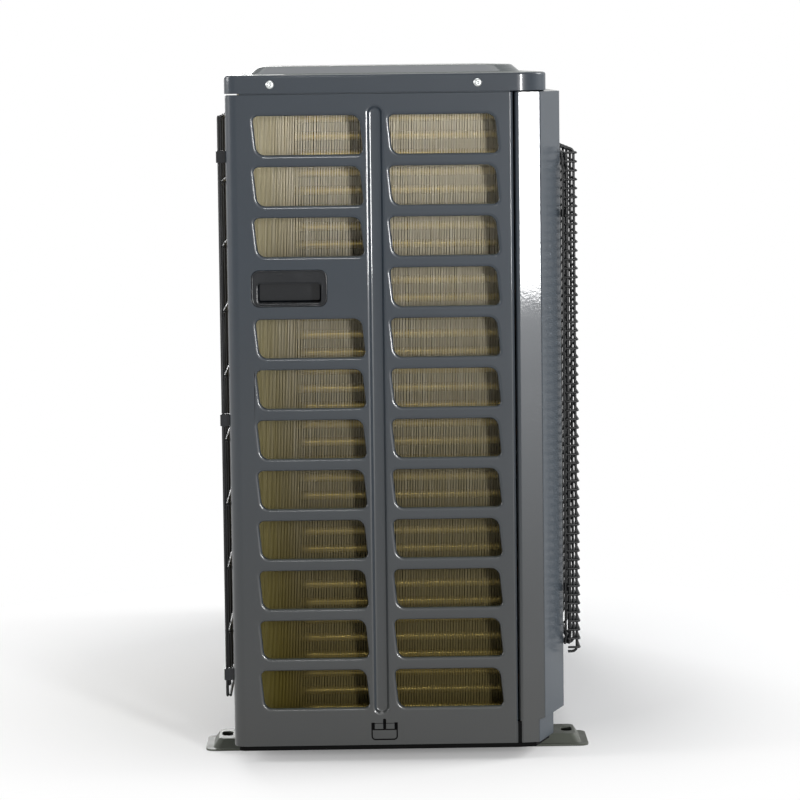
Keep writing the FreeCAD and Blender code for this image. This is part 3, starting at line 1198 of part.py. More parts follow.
def motor_bracket():
    """Two channel uprights from the pan to the top of the coil, tied above and behind the motor."""
    body = new_body("motor_bracket")
    rear = "(motor_rear + stay_depth)"
    first = None
    for side, sign in (("left", "-"), ("right", "+")):
        middle = f"({FAN_X} {sign} stay_spacing / 2)"
        plan = sketch(body, f"{side}_stay_plan", "XY_Plane", away=PAN_FLOOR)
        half = "stay_width / 2"
        outline(plan, [
            (f"{middle} - {half}", "motor_rear"), (f"{middle} + {half}", "motor_rear"),
            (f"{middle} + {half}", rear), (f"{middle} + {half} - stay_sheet", rear),
            (f"{middle} + {half} - stay_sheet", "motor_rear + stay_sheet"),
            (f"{middle} - {half} + stay_sheet", "motor_rear + stay_sheet"),
            (f"{middle} - {half} + stay_sheet", rear), (f"{middle} - {half}", rear)])
        first = pad(body, plan, f"{side}_stay", f"{COIL_TOP} + seat - {PAN_FLOOR}")
        if side == "left":
            tie_plan = sketch(body, "tie_plan", "XY_Plane", away=f"{COIL_TOP} + seat")
            reach = "(stay_spacing / 2 + stay_width / 2)"
            frame_outline(tie_plan, f"{FAN_X} - {reach}", "motor_rear", f"{FAN_X} + {reach}", "coil_rear - coil_depth / 2")
            pad(body, tie_plan, "top_tie", "stay_sheet")
    return body


def coil_fins():
    """Fin block bent round the rear corner of the casing, grooved upright on its outer faces."""
    body = new_body("coil_fins")
    inner = f"({COIL_LEFT} + coil_depth)"
    plan = sketch(body, "coil_plan", "XY_Plane", away="coil_bottom")
    outline(plan, [
        (COIL_LEFT, "-coil_front"), (COIL_LEFT, "coil_rear", "coil_bend"), (COIL_RIGHT, "coil_rear"),
        (COIL_RIGHT, "coil_rear - coil_depth"), (inner, "coil_rear - coil_depth", "coil_bend - coil_depth"),
        (inner, "-coil_front")])
    tall = "tube_pitch * tube_count"
    pad(body, plan, "coil_block", tall)
    end_run = "(coil_front + coil_rear - coil_bend)"
    groove = sketch(body, "end_groove", "XY_Plane", away="coil_bottom")
    frame_outline(groove, COIL_LEFT, "fin_groove / 2 - coil_front", f"{COIL_LEFT} + fin_relief",
                  "fin_groove * 3 / 2 - coil_front")
    cut = pocket(body, groove, "end_groove_cut", tall, 1)
    count = f"floor({end_run} / fin_pitch)"
    repeat(body, cut, "end_groove_row", "Y_Axis", f"fin_pitch * ({count} - 1)", count)
    groove = sketch(body, "rear_groove", "XY_Plane", away="coil_bottom")
    frame_outline(groove, f"{COIL_RIGHT} - fin_groove * 3 / 2", "coil_rear - fin_relief",
                  f"{COIL_RIGHT} - fin_groove / 2", "coil_rear")
    cut = pocket(body, groove, "rear_groove_cut", tall, 1)
    count = "floor((coil_right - coil_inset - coil_bend) / fin_pitch)"
    repeat(body, cut, "rear_groove_row", "X_Axis", f"fin_pitch * ({count} - 1)", count, back=True)
    return body


def coil_end_plates():
    """Sheet plates at both ends of the fins, standing on the pan."""
    top = f"({COIL_TOP} - 2)"
    front = block("coil_front_plate", (f"{COIL_LEFT} - 3", "-coil_front - end_plate", PAN_FLOOR),
                  (f"{COIL_LEFT} + coil_depth + 6", "-coil_front", top))
    inner = block("coil_inner_plate", (COIL_RIGHT, "coil_rear - coil_depth - 6", PAN_FLOOR),
                  (f"{COIL_RIGHT} + end_plate", "coil_rear + 3", top))
    keep("coil_front_plate", front)
    keep("coil_inner_plate", inner)


def tube_level(index):
    """Height of a tube of the coil, counted from 0 at the bottom."""
    return mm("coil_bottom") + mm("tube_pitch") * (index + 0.5)


def coil_bends():
    """U-shaped tube ends: one set before the front plate, one set beyond the inner plate."""
    width, reach = mm("tube_width"), mm("bend_reach")
    count, circuit = int(mm("tube_count")), int(mm("circuit_tubes"))
    middle_x = mm(f"{COIL_LEFT} + coil_depth / 2")
    start_y = -mm("coil_front + end_plate")
    start_x, middle_y = mm(f"{COIL_RIGHT} + end_plate"), mm("coil_rear - coil_depth / 2")
    half = reach / 2
    hairpins, returns = [], []
    for index in range(0, count - 1, 2):
        low, high = tube_level(index), tube_level(index + 1)
        hairpins.append(bent_wire([
            FreeCAD.Vector(middle_x, start_y, low), FreeCAD.Vector(middle_x, start_y - half, low),
            FreeCAD.Vector(middle_x, start_y - reach + width / 2, low + half / 2),
            FreeCAD.Vector(middle_x, start_y - reach + width / 2, high - half / 2),
            FreeCAD.Vector(middle_x, start_y - half, high), FreeCAD.Vector(middle_x, start_y, high)], width))
    for index in range(1, count - 1, 2):
        if (index + 1) % circuit:
            low, high = tube_level(index), tube_level(index + 1)
            returns.append(bent_wire([
                FreeCAD.Vector(start_x, middle_y, low), FreeCAD.Vector(start_x + half, middle_y, low),
                FreeCAD.Vector(start_x + reach - width / 2, middle_y, low + half / 2),
                FreeCAD.Vector(start_x + reach - width / 2, middle_y, high - half / 2),
                FreeCAD.Vector(start_x + half, middle_y, high), FreeCAD.Vector(start_x, middle_y, high)], width))
    shaped("coil_hairpins", Part.makeCompound(hairpins))
    shaped("coil_return_bends", Part.makeCompound(returns))


def header(name, width, reach, aside, first, foot):
    """An upright pipe beside the inner end plate with one stub for each circuit."""
    circuit, count = int(mm("circuit_tubes")), int(mm("tube_count"))
    tube = mm("tube_width")
    start_x = mm(f"{COIL_RIGHT} + end_plate")
    middle_y = mm("coil_rear - coil_depth / 2")
    centre = header_centre(reach, aside)
    levels = [tube_level(index) for index in range(first, count, circuit)]
    low, high = mm(foot), levels[-1] + mm(width)
    upright = Part.makeCylinder(mm(width) / 2, high - low, FreeCAD.Vector(centre.x, centre.y, low))
    stubs = []
    for level in levels:
        stubs.append(bent_wire([
            FreeCAD.Vector(start_x, middle_y, level), FreeCAD.Vector(start_x + tube, middle_y, level),
            FreeCAD.Vector(centre.x, centre.y, level)], tube))
    return shaped(name, upright.fuse(stubs).removeSplitter().Solids[0])


def header_centre(reach, aside):
    """Plan place of a header."""
    return vector(f"{COIL_RIGHT} + end_plate + {reach}", f"coil_rear - coil_depth / 2 - {aside}", 0)


def partition():
    """Upright sheet between the fan bay and the machine bay, cut to the pan, the front and the cover."""
    body = new_body("partition")
    inner = "(front_face - wall - pan_sheet - seat * 2)"
    deep = "(front_face + bulge_depth - wall - seat * 2)"
    upper = "(front_face - return_depth - seat)"
    rear = "(coil_rear - coil_depth - 6 - seat)"
    outline(sketch(body, "partition_outline", "YZ_Plane", away=COIL_RIGHT), [
        (f"pan_set_back - {inner}", PAN_FLOOR), (rear, PAN_FLOOR), (rear, f"{COVER_UNDER} - seat"),
        (f"-{upper}", f"{COVER_UNDER} - seat"), (f"-{upper}", "panel_top - 10"), (f"-{deep}", "panel_top - 10"),
        (f"-{deep}", "bulge_foot + 8"), (f"-{inner}", "bulge_foot + 8"), (f"-{inner}", "pan_ledge + pan_sheet"),
        (f"pan_set_back - {inner}", "pan_ledge + pan_sheet")])
    pad(body, body.Group[-1], "partition_pad", "partition_sheet", -1)
    return body


def compressor():
    """Welded shell with domed ends, foot plate, grommets, studs and terminal cover."""
    low, high = COMPRESSOR_LOW, COMPRESSOR_TOP
    radius = "compressor_width / 2"
    centre = (COMPRESSOR_X, "compressor_place", "0")
    turned("compressor_shell", "Z", centre, [
        (low, "0"), (low, f"{radius} - 14"), (f"{low} + dome / 2", f"{radius} - 2"), (f"{low} + dome", radius),
        (f"{high} - dome", radius), (f"{high} - dome / 2", f"{radius} - 3"), (high, f"{radius} - 18"), (high, "7"),
        (f"{high} + port_length", "5"), (f"{high} + port_length", "0")])
    plate = new_body("compressor_foot_plate")
    seats = compressor_seats()
    drawn = sketch(plate, "foot_plan", "XY_Plane", away=f"{PAN_FLOOR} + pan_boss + grommet_height")
    centre_x, centre_y = COMPRESSOR_X, "compressor_place"
    spread = "1.36"
    outline(drawn, [(f"{centre_x} + ({x} - {centre_x}) * {spread}", f"{centre_y} + ({y} - {centre_y}) * {spread}",
                     "grommet_width / 2 + 2") for x, y in seats])
    pad(plate, drawn, "foot_sheet_pad", "compressor_foot")
    return plate


def grommets_and_studs():
    """Three rubber grommets on the pan's seats, and the studs with their nuts above the foot plate."""
    rubbers, studs = [], []
    for index, (x, y) in enumerate(compressor_seats(), 1):
        base = f"({PAN_FLOOR} + pan_boss)"
        top = f"({base} + grommet_height + compressor_foot)"
        rubbers.append(cylinder(f"grommet_{index}", "Z", (x, y, base), "grommet_height", "grommet_width"))
        washer = cylinder(f"washer_{index}", "Z", (x, y, top), "2", "grommet_width * 0.7")
        nut = prism(f"stud_nut_{index}", "Z", (x, y, f"{top} + 2"), "stud_width * 0.8", "stud_width * 1.6")
        studs.append(joined(f"stud_{index}", [washer, nut]))
    keep("compressor_grommets", grouped("compressor_grommets", rubbers))
    keep("compressor_nuts", grouped("compressor_nuts", studs))


def terminal_cover():
    """Cap over the electrical terminals, on the shoulder of the compressor."""
    top = COMPRESSOR_TOP
    cap = block("terminal_cover", (f"{COMPRESSOR_X} + 9", "compressor_place - 20", top),
                (f"{COMPRESSOR_X} + 39", "compressor_place + 20", f"{top} + 16"))
    return keep("terminal_cover", cap)


def accumulator():
    """Suction accumulator beside the compressor, with its strap and the elbow to the shell."""
    low, high = "accumulator_low", ACCUMULATOR_TOP
    radius = "accumulator_width / 2"
    turned("accumulator", "Z", (ACCUMULATOR_X, "accumulator_rear", "0"), [
        (f"{low} - 8", "0"), (f"{low} - 8", "8"), (low, "8"), (low, f"{radius} - 14"), (f"{low} + 14", radius),
        (f"{high} - 14", radius), (high, f"{radius} - 14"), (high, "8"), (ACCUMULATOR_MOUTH, "8"),
        (ACCUMULATOR_MOUTH, "0")])
    centre = vector(ACCUMULATOR_X, "accumulator_rear", "accumulator_low - 8")
    shell = vector(COMPRESSOR_X, "compressor_place", "accumulator_low - 24")
    level = shell.z
    toward = FreeCAD.Vector(shell.x - centre.x, shell.y - centre.y, 0).normalize()
    corner = FreeCAD.Vector(centre.x, centre.y, level)
    contact = shell - toward * (mm("compressor_width / 2") - 1)
    elbow = bent_pipe([centre, corner, contact], mm("gas_pipe"), mm("gas_pipe"))
    drum = Part.makeCylinder(mm("compressor_width / 2 + seat / 3"), 80, shell - FreeCAD.Vector(0, 0, 40))
    shaped("suction_elbow", elbow.cut(drum).Solids[0])
    height = mm(f"accumulator_low + ({ACCUMULATOR_TOP} - accumulator_low) * 0.6")
    middle = FreeCAD.Vector(centre.x, centre.y, height)
    gap = math.hypot(shell.x - centre.x, shell.y - centre.y) - mm("compressor_width / 2 + accumulator_width / 2")
    play = mm("seat")
    band = Part.makeCylinder(mm("accumulator_width / 2") + play + 2, 16, middle)
    band = band.cut(Part.makeCylinder(mm("accumulator_width / 2") + play, 16, middle))
    bridge = Part.makeBox(gap - play * 2 - 1, 24, 16, FreeCAD.Vector(mm("accumulator_width / 2") + play + 1, -12, 0))
    bridge.rotate(FreeCAD.Vector(), FreeCAD.Vector(0, 0, 1), math.degrees(math.atan2(toward.y, toward.x)))
    bridge.translate(middle)
    bridge = bridge.cut(Part.makeCylinder(mm("accumulator_width / 2") + play, 16, middle))
    wall = Part.makeCylinder(mm("compressor_width / 2") + play, 16, FreeCAD.Vector(shell.x, shell.y, height))
    shaped("accumulator_strap", band.fuse(bridge).cut(wall).removeSplitter().Solids[0])


def four_way_valve():
    """Reversing valve: a level barrel with one port above and three below, its pilot coil behind."""
    middle = f"({COMPRESSOR_X})"
    start = f"({middle} - valve_length / 2)"
    barrel = cylinder("valve_barrel", "X", (start, "valve_rear", VALVE_HEIGHT), "valve_length", "valve_width")
    ports = [barrel, cylinder("port_above", "Z", (middle, "valve_rear", VALVE_HEIGHT),
                              "valve_width / 2 + port_length", "discharge_pipe + 3")]
    for label, shift in (("left", "- port_spacing"), ("middle", "+ 0"), ("right", "+ port_spacing")):
        ports.append(cylinder(f"port_{label}", "Z",
                              (f"{middle} {shift}", "valve_rear", VALVE_FOOT),
                              "valve_width / 2 + port_length", "gas_pipe + 3"))
    keep("four_way_valve", joined("four_way_valve", ports))
    pilot = block("reversing_coil", (f"{middle} - 14", "valve_rear + valve_width / 2 + seat", f"{VALVE_HEIGHT} - 16"),
                  (f"{middle} + 14", "valve_rear + valve_width / 2 + seat + 20", f"{VALVE_HEIGHT} + 16"))
    keep("reversing_coil", pilot)


def expansion_valve():
    """Electronic expansion valve: a turned body with its round coil on top."""
    x = f"({RIGHT} - expansion_left)"
    low = "expansion_low"
    centre = (x, "expansion_rear", "0")
    turned("expansion_valve", "Z", centre, [
        (f"{low} - 8", "0"), (f"{low} - 8", "5"), (low, "5"), (low, "11"), (f"{low} + 34", "11"),
        (f"{low} + 34", "7"), (f"{low} + 60", "7"), (f"{low} + 60", "0")])
    turned("expansion_coil", "Z", centre, [
        (f"{low} + 34 + seat", "7 + seat"), (f"{low} + 34 + seat", "19"), (f"{low} + 58", "19"), (f"{low} + 58", "7 + seat")])


def pipework():
    """Copper pipes between compressor, valves, accumulator and coil."""
    bend = mm("bend_radius")
    compressor_x, place_y = mm(COMPRESSOR_X), mm("compressor_place")
    valve_y = mm("valve_rear")
    above = mm(f"{VALVE_HEIGHT} + valve_width / 2 + port_length")
    below = mm(VALVE_FOOT)
    step = mm("port_spacing")
    top = mm(f"{COMPRESSOR_TOP} + port_length")
    crown = mm("tray_height - discharge_pipe - 4")
    shaped("discharge_line", bent_pipe([
        FreeCAD.Vector(compressor_x, place_y, top), FreeCAD.Vector(compressor_x, place_y, crown),
        FreeCAD.Vector(compressor_x, valve_y, crown), FreeCAD.Vector(compressor_x, valve_y, above)],
        mm("discharge_pipe"), bend))
    accumulator_x, accumulator_y = mm(ACCUMULATOR_X), mm("accumulator_rear")
    inlet = mm(ACCUMULATOR_MOUTH)
    shaped("suction_line", bent_pipe([
        FreeCAD.Vector(compressor_x, valve_y, below), FreeCAD.Vector(compressor_x, valve_y, inlet + 24),
        FreeCAD.Vector(accumulator_x, accumulator_y, inlet + 24),
        FreeCAD.Vector(accumulator_x, accumulator_y, inlet)], mm("gas_pipe"), bend * 0.7))
    gas_y, gas_z = mm("gas_place"), mm("gas_height")
    riser = mm(f"{RIGHT} - 34")
    bracket = mm(f"{RIGHT} - wall - seat - bracket_sheet")
    shaped("gas_line", bent_pipe([
        FreeCAD.Vector(compressor_x + step, valve_y, below), FreeCAD.Vector(compressor_x + step, valve_y, below - 36),
        FreeCAD.Vector(riser, valve_y, below - 36), FreeCAD.Vector(riser, gas_y, below - 36),
        FreeCAD.Vector(riser, gas_y, gas_z), FreeCAD.Vector(bracket, gas_y, gas_z)], mm("gas_pipe"), bend * 0.9))
    gas = header_centre("header_reach", "0")
    level = below - 25
    line = bent_pipe([
        FreeCAD.Vector(compressor_x - step, valve_y, below), FreeCAD.Vector(compressor_x - step, valve_y, level),
        FreeCAD.Vector(gas.x, valve_y, level), FreeCAD.Vector(gas.x, gas.y - mm("header_width") / 4, level)],
        mm("gas_pipe"), bend * 0.9)
    shaped("coil_gas_line", clear_of_upright(line, gas, "header_width"))
    liquid = header_centre("spreader_reach", "spreader_aside")
    valve_x, valve_place = mm(f"{RIGHT} - expansion_left"), mm("expansion_rear")
    level = mm("expansion_low - 30")
    line = bent_pipe([
        FreeCAD.Vector(valve_x, valve_place, mm("expansion_low - 8")), FreeCAD.Vector(valve_x, valve_place, level),
        FreeCAD.Vector(liquid.x + mm("spreader_width") / 4, liquid.y, level)], mm("liquid_pipe"), bend * 0.6)
    shaped("coil_liquid_line", clear_of_upright(line, liquid, "spreader_width"))
    level = mm("expansion_low + 17")
    aside = mm("accumulator_rear + accumulator_width / 2 + liquid_pipe / 2 + 4")
    liquid_x, liquid_y, liquid_z = mm(f"{RIGHT} - 20"), mm("liquid_place"), mm("liquid_height")
    line = bent_pipe([
        FreeCAD.Vector(valve_x, valve_place - 8, level), FreeCAD.Vector(valve_x, aside, level),
        FreeCAD.Vector(liquid_x, aside, level), FreeCAD.Vector(liquid_x, liquid_y, level),
        FreeCAD.Vector(liquid_x, liquid_y, liquid_z), FreeCAD.Vector(bracket, liquid_y, liquid_z)],
        mm("liquid_pipe"), bend * 0.6)
    valve = FreeCAD.Vector(valve_x, valve_place, 0)
    shaped("liquid_line", clear_of_upright(line, valve, "22"))


def clear_of_upright(pipe, centre, width):
    """A pipe cut back to the wall of an upright round piece that it runs into."""
    drum = Part.makeCylinder(mm(width) / 2 + 0.05, mm("panel_top"), FreeCAD.Vector(centre.x, centre.y, 0))
    return max(pipe.cut(drum).Solids, key=lambda solid: solid.Volume)


def valve_bracket():
    """Plate behind the window of the valve-end panel, carrying both service valves."""
    face = f"({RIGHT} - wall - seat)"
    body = new_body("valve_bracket")
    drawn = sketch(body, "bracket_outline", "YZ_Plane", away=face)
    frame_outline(drawn, "bracket_place - bracket_width / 2", "bracket_low", "bracket_place + bracket_width / 2",
                  "bracket_low + bracket_tall", "5")
    pad(body, drawn, "bracket_plate", "bracket_sheet", -1)
    return body


def service_valve(name, across, height, width, flare):
    """A service valve: a round body out of the bracket, a flare end below and a cap on its end."""
    face = f"({RIGHT} - wall - seat)"
    barrel = cylinder(f"{name}_barrel", "X", (face, across, height), "valve_reach + wall + seat", width)
    neck = cylinder(f"{name}_neck", "X", (f"{RIGHT} + valve_reach", across, height), "6", f"({width}) * 0.6")
    drop = cylinder(f"{name}_drop", "Z", (f"{RIGHT} + valve_reach / 2", across, f"{height} - flare_drop"),
                    "flare_drop", flare)
    shoulder = cylinder(f"{name}_shoulder", "Z",
                        (f"{RIGHT} + valve_reach / 2", across, f"{height} - ({width}) / 2 - flare_shoulder"),
                        f"({width}) / 2 + flare_shoulder", f"{flare} + flare_shoulder * 2")
    keep(f"{name}_valve", joined(f"{name}_valve", [barrel, neck, drop, shoulder]))
    cap = prism(f"{name}_cap_block", "X", (f"{RIGHT} + valve_reach + seat", across, height), "cap_height",
                f"({width}) * 0.86")
    room = cylinder(f"{name}_cap_room", "X", (f"{RIGHT} + valve_reach + seat - 1", across, height), "8",
                    f"({width}) * 0.6 + seat * 2")
    keep(f"{name}_valve_cap", without(f"{name}_valve_cap", cap, [room]))


def valve_cover():
    """Moulded cover over the service valves: drawn sides, a finger pull and an open pipe way below."""
    body = new_body("valve_cover")
    low_y, high_y = "bracket_place - valve_cover_width / 2", "bracket_place + valve_cover_width / 2"
    low_z, high_z = "valve_cover_low", "valve_cover_low + valve_cover_tall"
    face = f"({RIGHT} + seat)"

    def level(label, away, inset, radius):
        drawn = sketch(body, label, "YZ_Plane", away=away)
        return frame_outline(drawn, f"{low_y} + {inset}", f"{low_z} + {inset}", f"{high_y} - {inset}",
                             f"{high_z} - {inset} * 2.5", radius)

    outer = "valve_cover_taper"
    loft(body, "cover_form", level("form_low", face, "0", "valve_cover_corner"),
         level("form_high", f"{RIGHT} + valve_cover_depth", outer, "valve_cover_corner"))
    skin = "valve_cover_wall"
    pull = sketch(body, "pull_outline", "YZ_Plane", away=f"{RIGHT} + valve_cover_depth")
    loft(body, "cover_room", level("room_low", face, skin, "valve_cover_corner - 2"),
         level("room_high", f"{RIGHT} + valve_cover_depth - {skin}", f"({outer} + {skin})", "valve_cover_corner - 2"),
         "SubtractiveLoft")
    frame_outline(pull, "bracket_place - pull_width / 2", f"{high_z} - 82", "bracket_place + pull_width / 2",
                  f"{high_z} - 82 + pull_tall", "6")
    back = sketch(body, "pull_back", "YZ_Plane", away=f"{RIGHT} + valve_cover_depth")
    frame_outline(back, f"bracket_place - pull_width / 2 - {skin}", f"{high_z} - 82 - {skin}",
                  f"bracket_place + pull_width / 2 + {skin}", f"{high_z} - 82 + pull_tall + {skin}", "8")
    pad(body, back, "pull_block", "pull_depth", -1)
    pocket(body, pull, "pull_cut", f"pull_depth - {skin}", -1)
    way = sketch(body, "pipe_way_plan", "XY_Plane", away=f"{low_z}")
    frame_outline(way, f"{RIGHT}", "bracket_place - pipe_way / 2", f"{RIGHT} + valve_cover_depth - 14",
                  "bracket_place + pipe_way / 2")
    pocket(body, way, "pipe_way_cut", f"valve_cover_taper + {skin} * 3", 1)
    return body


def electrics():
    """Tray above the machine bay with its board, capacitors, coil block, terminal block and heat sink."""
    left = f"({COIL_RIGHT} + seat)"
    right = f"({RIGHT} - return_depth - wall * 2)"
    front = "(return_depth - front_face + seat)"
    tray = new_body("electrical_tray")
    plan = sketch(tray, "tray_plan", "XY_Plane", away="tray_height")
    frame_outline(plan, left, front, right, "tray_rear")
    pad(tray, plan, "tray_block", "tray_rim")
    room = sketch(tray, "tray_room", "XY_Plane", away="tray_height + tray_sheet")
    frame_outline(room, f"{left} + tray_sheet", f"{front} + tray_sheet", f"{right} - tray_sheet",
                  "tray_rear - tray_sheet")
    pocket(tray, room, "tray_cut", "tray_rim", 1)
    floor = "(tray_height + tray_sheet)"
    for index, (x, y) in enumerate(((f"{left} + 24", f"{front} + 24"), (f"{right} - 44", f"{front} + 24"),
                                    (f"{left} + 24", "tray_rear - 24"), (f"{right} - 44", "tray_rear - 24")), 1):
        post = circle(sketch(tray, f"post_plan_{index}", "XY_Plane", away=floor), x, y, "4")
        pad(tray, post, f"post_{index}", "board_gap")
    board = f"({floor} + board_gap)"
    top = f"({board} + board_wall)"
    keep("circuit_board", block("circuit_board", (f"{left} + 12", f"{front} + 12", board),
                                (f"{right} - 30", "tray_rear - 12", top)))
    cans = [cylinder(f"capacitor_{index}", "Z", (f"{left} + 50 + (capacitor_width + 8) * {index}", "tray_rear - 44", top),
                     "capacitor_height", "capacitor_width") for index in range(3)]
    keep("capacitors", grouped("capacitors", cans))
    keep("filter_coil", block("filter_coil", (f"{left} + 40", f"{front} + 30", top),
                              (f"{left} + 100", f"{front} + 80", f"{top} + 40")))
    sink_face = f"({COIL_RIGHT} - partition_sheet)"
    sink_low = "tray_height - 4"
    base = block("sink_base_block", (f"{sink_face} - sink_base", "-sink_length / 2", sink_low),
                 (sink_face, "sink_length / 2", f"{sink_low} + sink_tall"))
    fins = [base]
    for index in range(int(mm("sink_fins"))):
        y = f"(-sink_length / 2 + (sink_length - sink_fin) * {index} / (sink_fins - 1))"
        fins.append(block(f"sink_fin_{index}", (f"{sink_face} - sink_reach", y, sink_low),
                          (f"{sink_face} - sink_base / 2", f"{y} + sink_fin", f"{sink_low} + sink_tall")))
    keep("heat_sink", joined("heat_sink", fins))
    block_low = "terminal_height - 14"
    terminal = block("terminal_block", (f"{RIGHT} + seat", "bracket_place - terminal_length / 2", block_low),
                     (f"{RIGHT} + 22", "bracket_place + terminal_length / 2", f"{block_low} + 28"))
    keep("terminal_block", terminal)


foot_rail("left_foot_rail", f"({LEFT} + foot_inset)")
foot_rail("right_foot_rail", f"({RIGHT} - foot_inset)")
base_pan()
left_side_panel()
hand_grip("left_grip", LEFT, 1)
front_panel()
service_panel()
right_side_panel()
hand_grip("right_grip", RIGHT, -1)
top_cover()
cover_screws()
fan_guard()
rear_guard()
guard_clips()
fan_shroud()
axial_fan()
fan_nut()
fan_shaft()
fan_motor()
motor_bracket()
coil_fins()
coil_end_plates()
coil_bends()
header("gas_header", "header_width", "header_reach", "0", int(mm("circuit_tubes")) - 1, "gas_header_low")
header("liquid_header", "spreader_width", "spreader_reach", "spreader_aside", 0, "coil_bottom + 2")
partition()
compressor()
grommets_and_studs()
terminal_cover()
accumulator()
four_way_valve()
expansion_valve()
pipework()
valve_bracket()
service_valve("gas", "gas_place", "gas_height", "gas_body", "gas_flare")
service_valve("liquid", "liquid_place", "liquid_height", "liquid_body", "liquid_flare")
valve_cover()
electrics()

doc.recompute()
faults = [item.Label for item in doc.Objects if "Invalid" in item.State or "Error" in item.State]
faults += [piece.Label for piece in PIECES if piece.Shape.isNull() or not piece.Shape.isValid()]
if faults:
    raise ValueError("not built: " + ", ".join(faults))
for piece in PIECES:
    piece.Shape.exportStep(f"parts/{piece.Label}.step")
print(len(PIECES), "pieces")
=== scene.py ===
"""The looks of a heat pump outdoor unit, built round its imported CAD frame. Lengths are in millimetres
until a piece is made, X along the unit from the coil end, -Y towards the fan guard, Z up."""
import math
import bmesh
import bpy
import numpy as np
from mathutils import Matrix, Vector


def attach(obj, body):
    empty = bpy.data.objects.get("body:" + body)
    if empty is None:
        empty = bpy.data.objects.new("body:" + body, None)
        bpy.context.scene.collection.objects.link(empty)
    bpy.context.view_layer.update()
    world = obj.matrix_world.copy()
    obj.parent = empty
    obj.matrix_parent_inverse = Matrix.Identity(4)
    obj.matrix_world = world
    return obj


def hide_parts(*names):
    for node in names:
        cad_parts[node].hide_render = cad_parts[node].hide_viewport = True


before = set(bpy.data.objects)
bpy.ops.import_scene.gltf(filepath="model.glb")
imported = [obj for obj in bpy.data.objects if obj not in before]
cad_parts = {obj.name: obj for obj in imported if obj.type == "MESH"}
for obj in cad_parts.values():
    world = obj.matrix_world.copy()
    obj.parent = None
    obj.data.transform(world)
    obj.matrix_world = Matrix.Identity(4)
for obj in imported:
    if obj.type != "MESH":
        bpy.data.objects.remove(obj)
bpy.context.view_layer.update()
MM = 0.001
# Directions along the axes.
X_WAY, Y_WAY, Z_WAY = (1.0, 0.0, 0.0), (0.0, 1.0, 0.0), (0.0, 0.0, 1.0)

# Sizes that the part's own sheet names, in millimetres.
LEFT, RIGHT = -480.0, 420.0
FRONT, BULGE = -160.0, -172.0
FAN_X, FAN_Z = -160.0, 356.2
COIL_LEFT, COIL_RIGHT, COIL_FRONT, COIL_REAR = -450.0, 130.0, -112.0, 156.0
COIL_LOW, TUBE_PITCH, TUBES, COIL_DEPTH, COIL_BEND = 20.0, 18.2, 36, 22.0, 70.0
# Slots of the end panel: top of the first row, rear end of each column; the grip takes one row's place.
VENT_TOP, VENT_PITCH, VENT_HEIGHT, VENT_ROWS = 651.0, 50.73, 38.7, 12
VENT_WIDTH, VENT_LEAN = 105.7, 4.0
REAR_VENTS, FRONT_VENTS, GRIP_ROW = 137.6, 2.5, 3
GRIP_Y, GRIP_Z, GRIP_WIDTH, GRIP_TALL = 103.3, 479.2, 75.4, 36.5
MOUTH_WIDTH, MOUTH_TALL, MOUTH_LOW = 63.3, 19.6, 3.4


# Meshes.

def grid_faces(rows, columns, wrap_rows=False, wrap_columns=False, start=0):
    """Quads between neighbouring points of a grid whose columns run fastest."""
    down = np.arange(rows if wrap_rows else rows - 1)
    along = np.arange(columns if wrap_columns else columns - 1)
    down, along = np.meshgrid(down, along, indexing="ij")
    below, beside = (down + 1) % rows, (along + 1) % columns
    quads = np.stack([down * columns + along, down * columns + beside,
                      below * columns + beside, below * columns + along], -1)
    return quads.reshape(-1, 4) + start


class Parts:
    """Points and faces of several forms, gathered for one mesh."""

    def __init__(self):
        self.points, self.faces, self.count = [], [], 0

    def add(self, points, faces):
        self.points.append(np.asarray(points, float).reshape(-1, 3))
        self.faces += [[int(corner) + self.count for corner in face] for face in faces]
        self.count += len(self.points[-1])

    def grid(self, points, wrap_rows=False, wrap_columns=False, caps=False, flip=False):
        """A grid of points [rows, columns, 3]; caps closes the first and the last row."""
        rows, columns = points.shape[:2]
        faces = grid_faces(rows, columns, wrap_rows, wrap_columns).tolist()
        if caps:
            faces += [list(range(columns))[::-1], list(range((rows - 1) * columns, rows * columns))]
        if flip:
            faces = [face[::-1] for face in faces]
        self.add(points, faces)

    def rod(self, route, width, sides, across, tall=None):
        """An ellipse carried along a route, closed at both ends."""
        self.grid(carried(route, width, sides, across, tall), wrap_columns=True, caps=True)


def piece(name, parts, finish, body="casing", stands_for=(), smooth=True, sharp=None, outward=False):
    """A mesh of gathered parts that rides on a body and may stand for CAD nodes."""
    data = bpy.data.meshes.new(name)
    data.from_pydata((np.concatenate(parts.points) * MM).tolist(), [], parts.faces)
    data.update()
    if outward:
        work = bmesh.new()
        work.from_mesh(data)
        bmesh.ops.recalc_face_normals(work, faces=work.faces)
        work.to_mesh(data)
        work.free()
    dressed(name, data, finish, body, stands_for, smooth, sharp)


def dressed(name, data, finish, body, stands_for, smooth, sharp):
    """The object for a mesh: shading, finish, body and the nodes that it stands for."""
    thing = bpy.data.objects.new(name, data)
    bpy.context.scene.collection.objects.link(thing)
    data.polygons.foreach_set("use_smooth", np.full(len(data.polygons), smooth))
    if smooth and sharp:
        data.set_sharp_from_angle(angle=math.radians(sharp))
    data.materials.append(finish)
    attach(thing, body)
    if stands_for:
        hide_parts(*stands_for)
    return thing


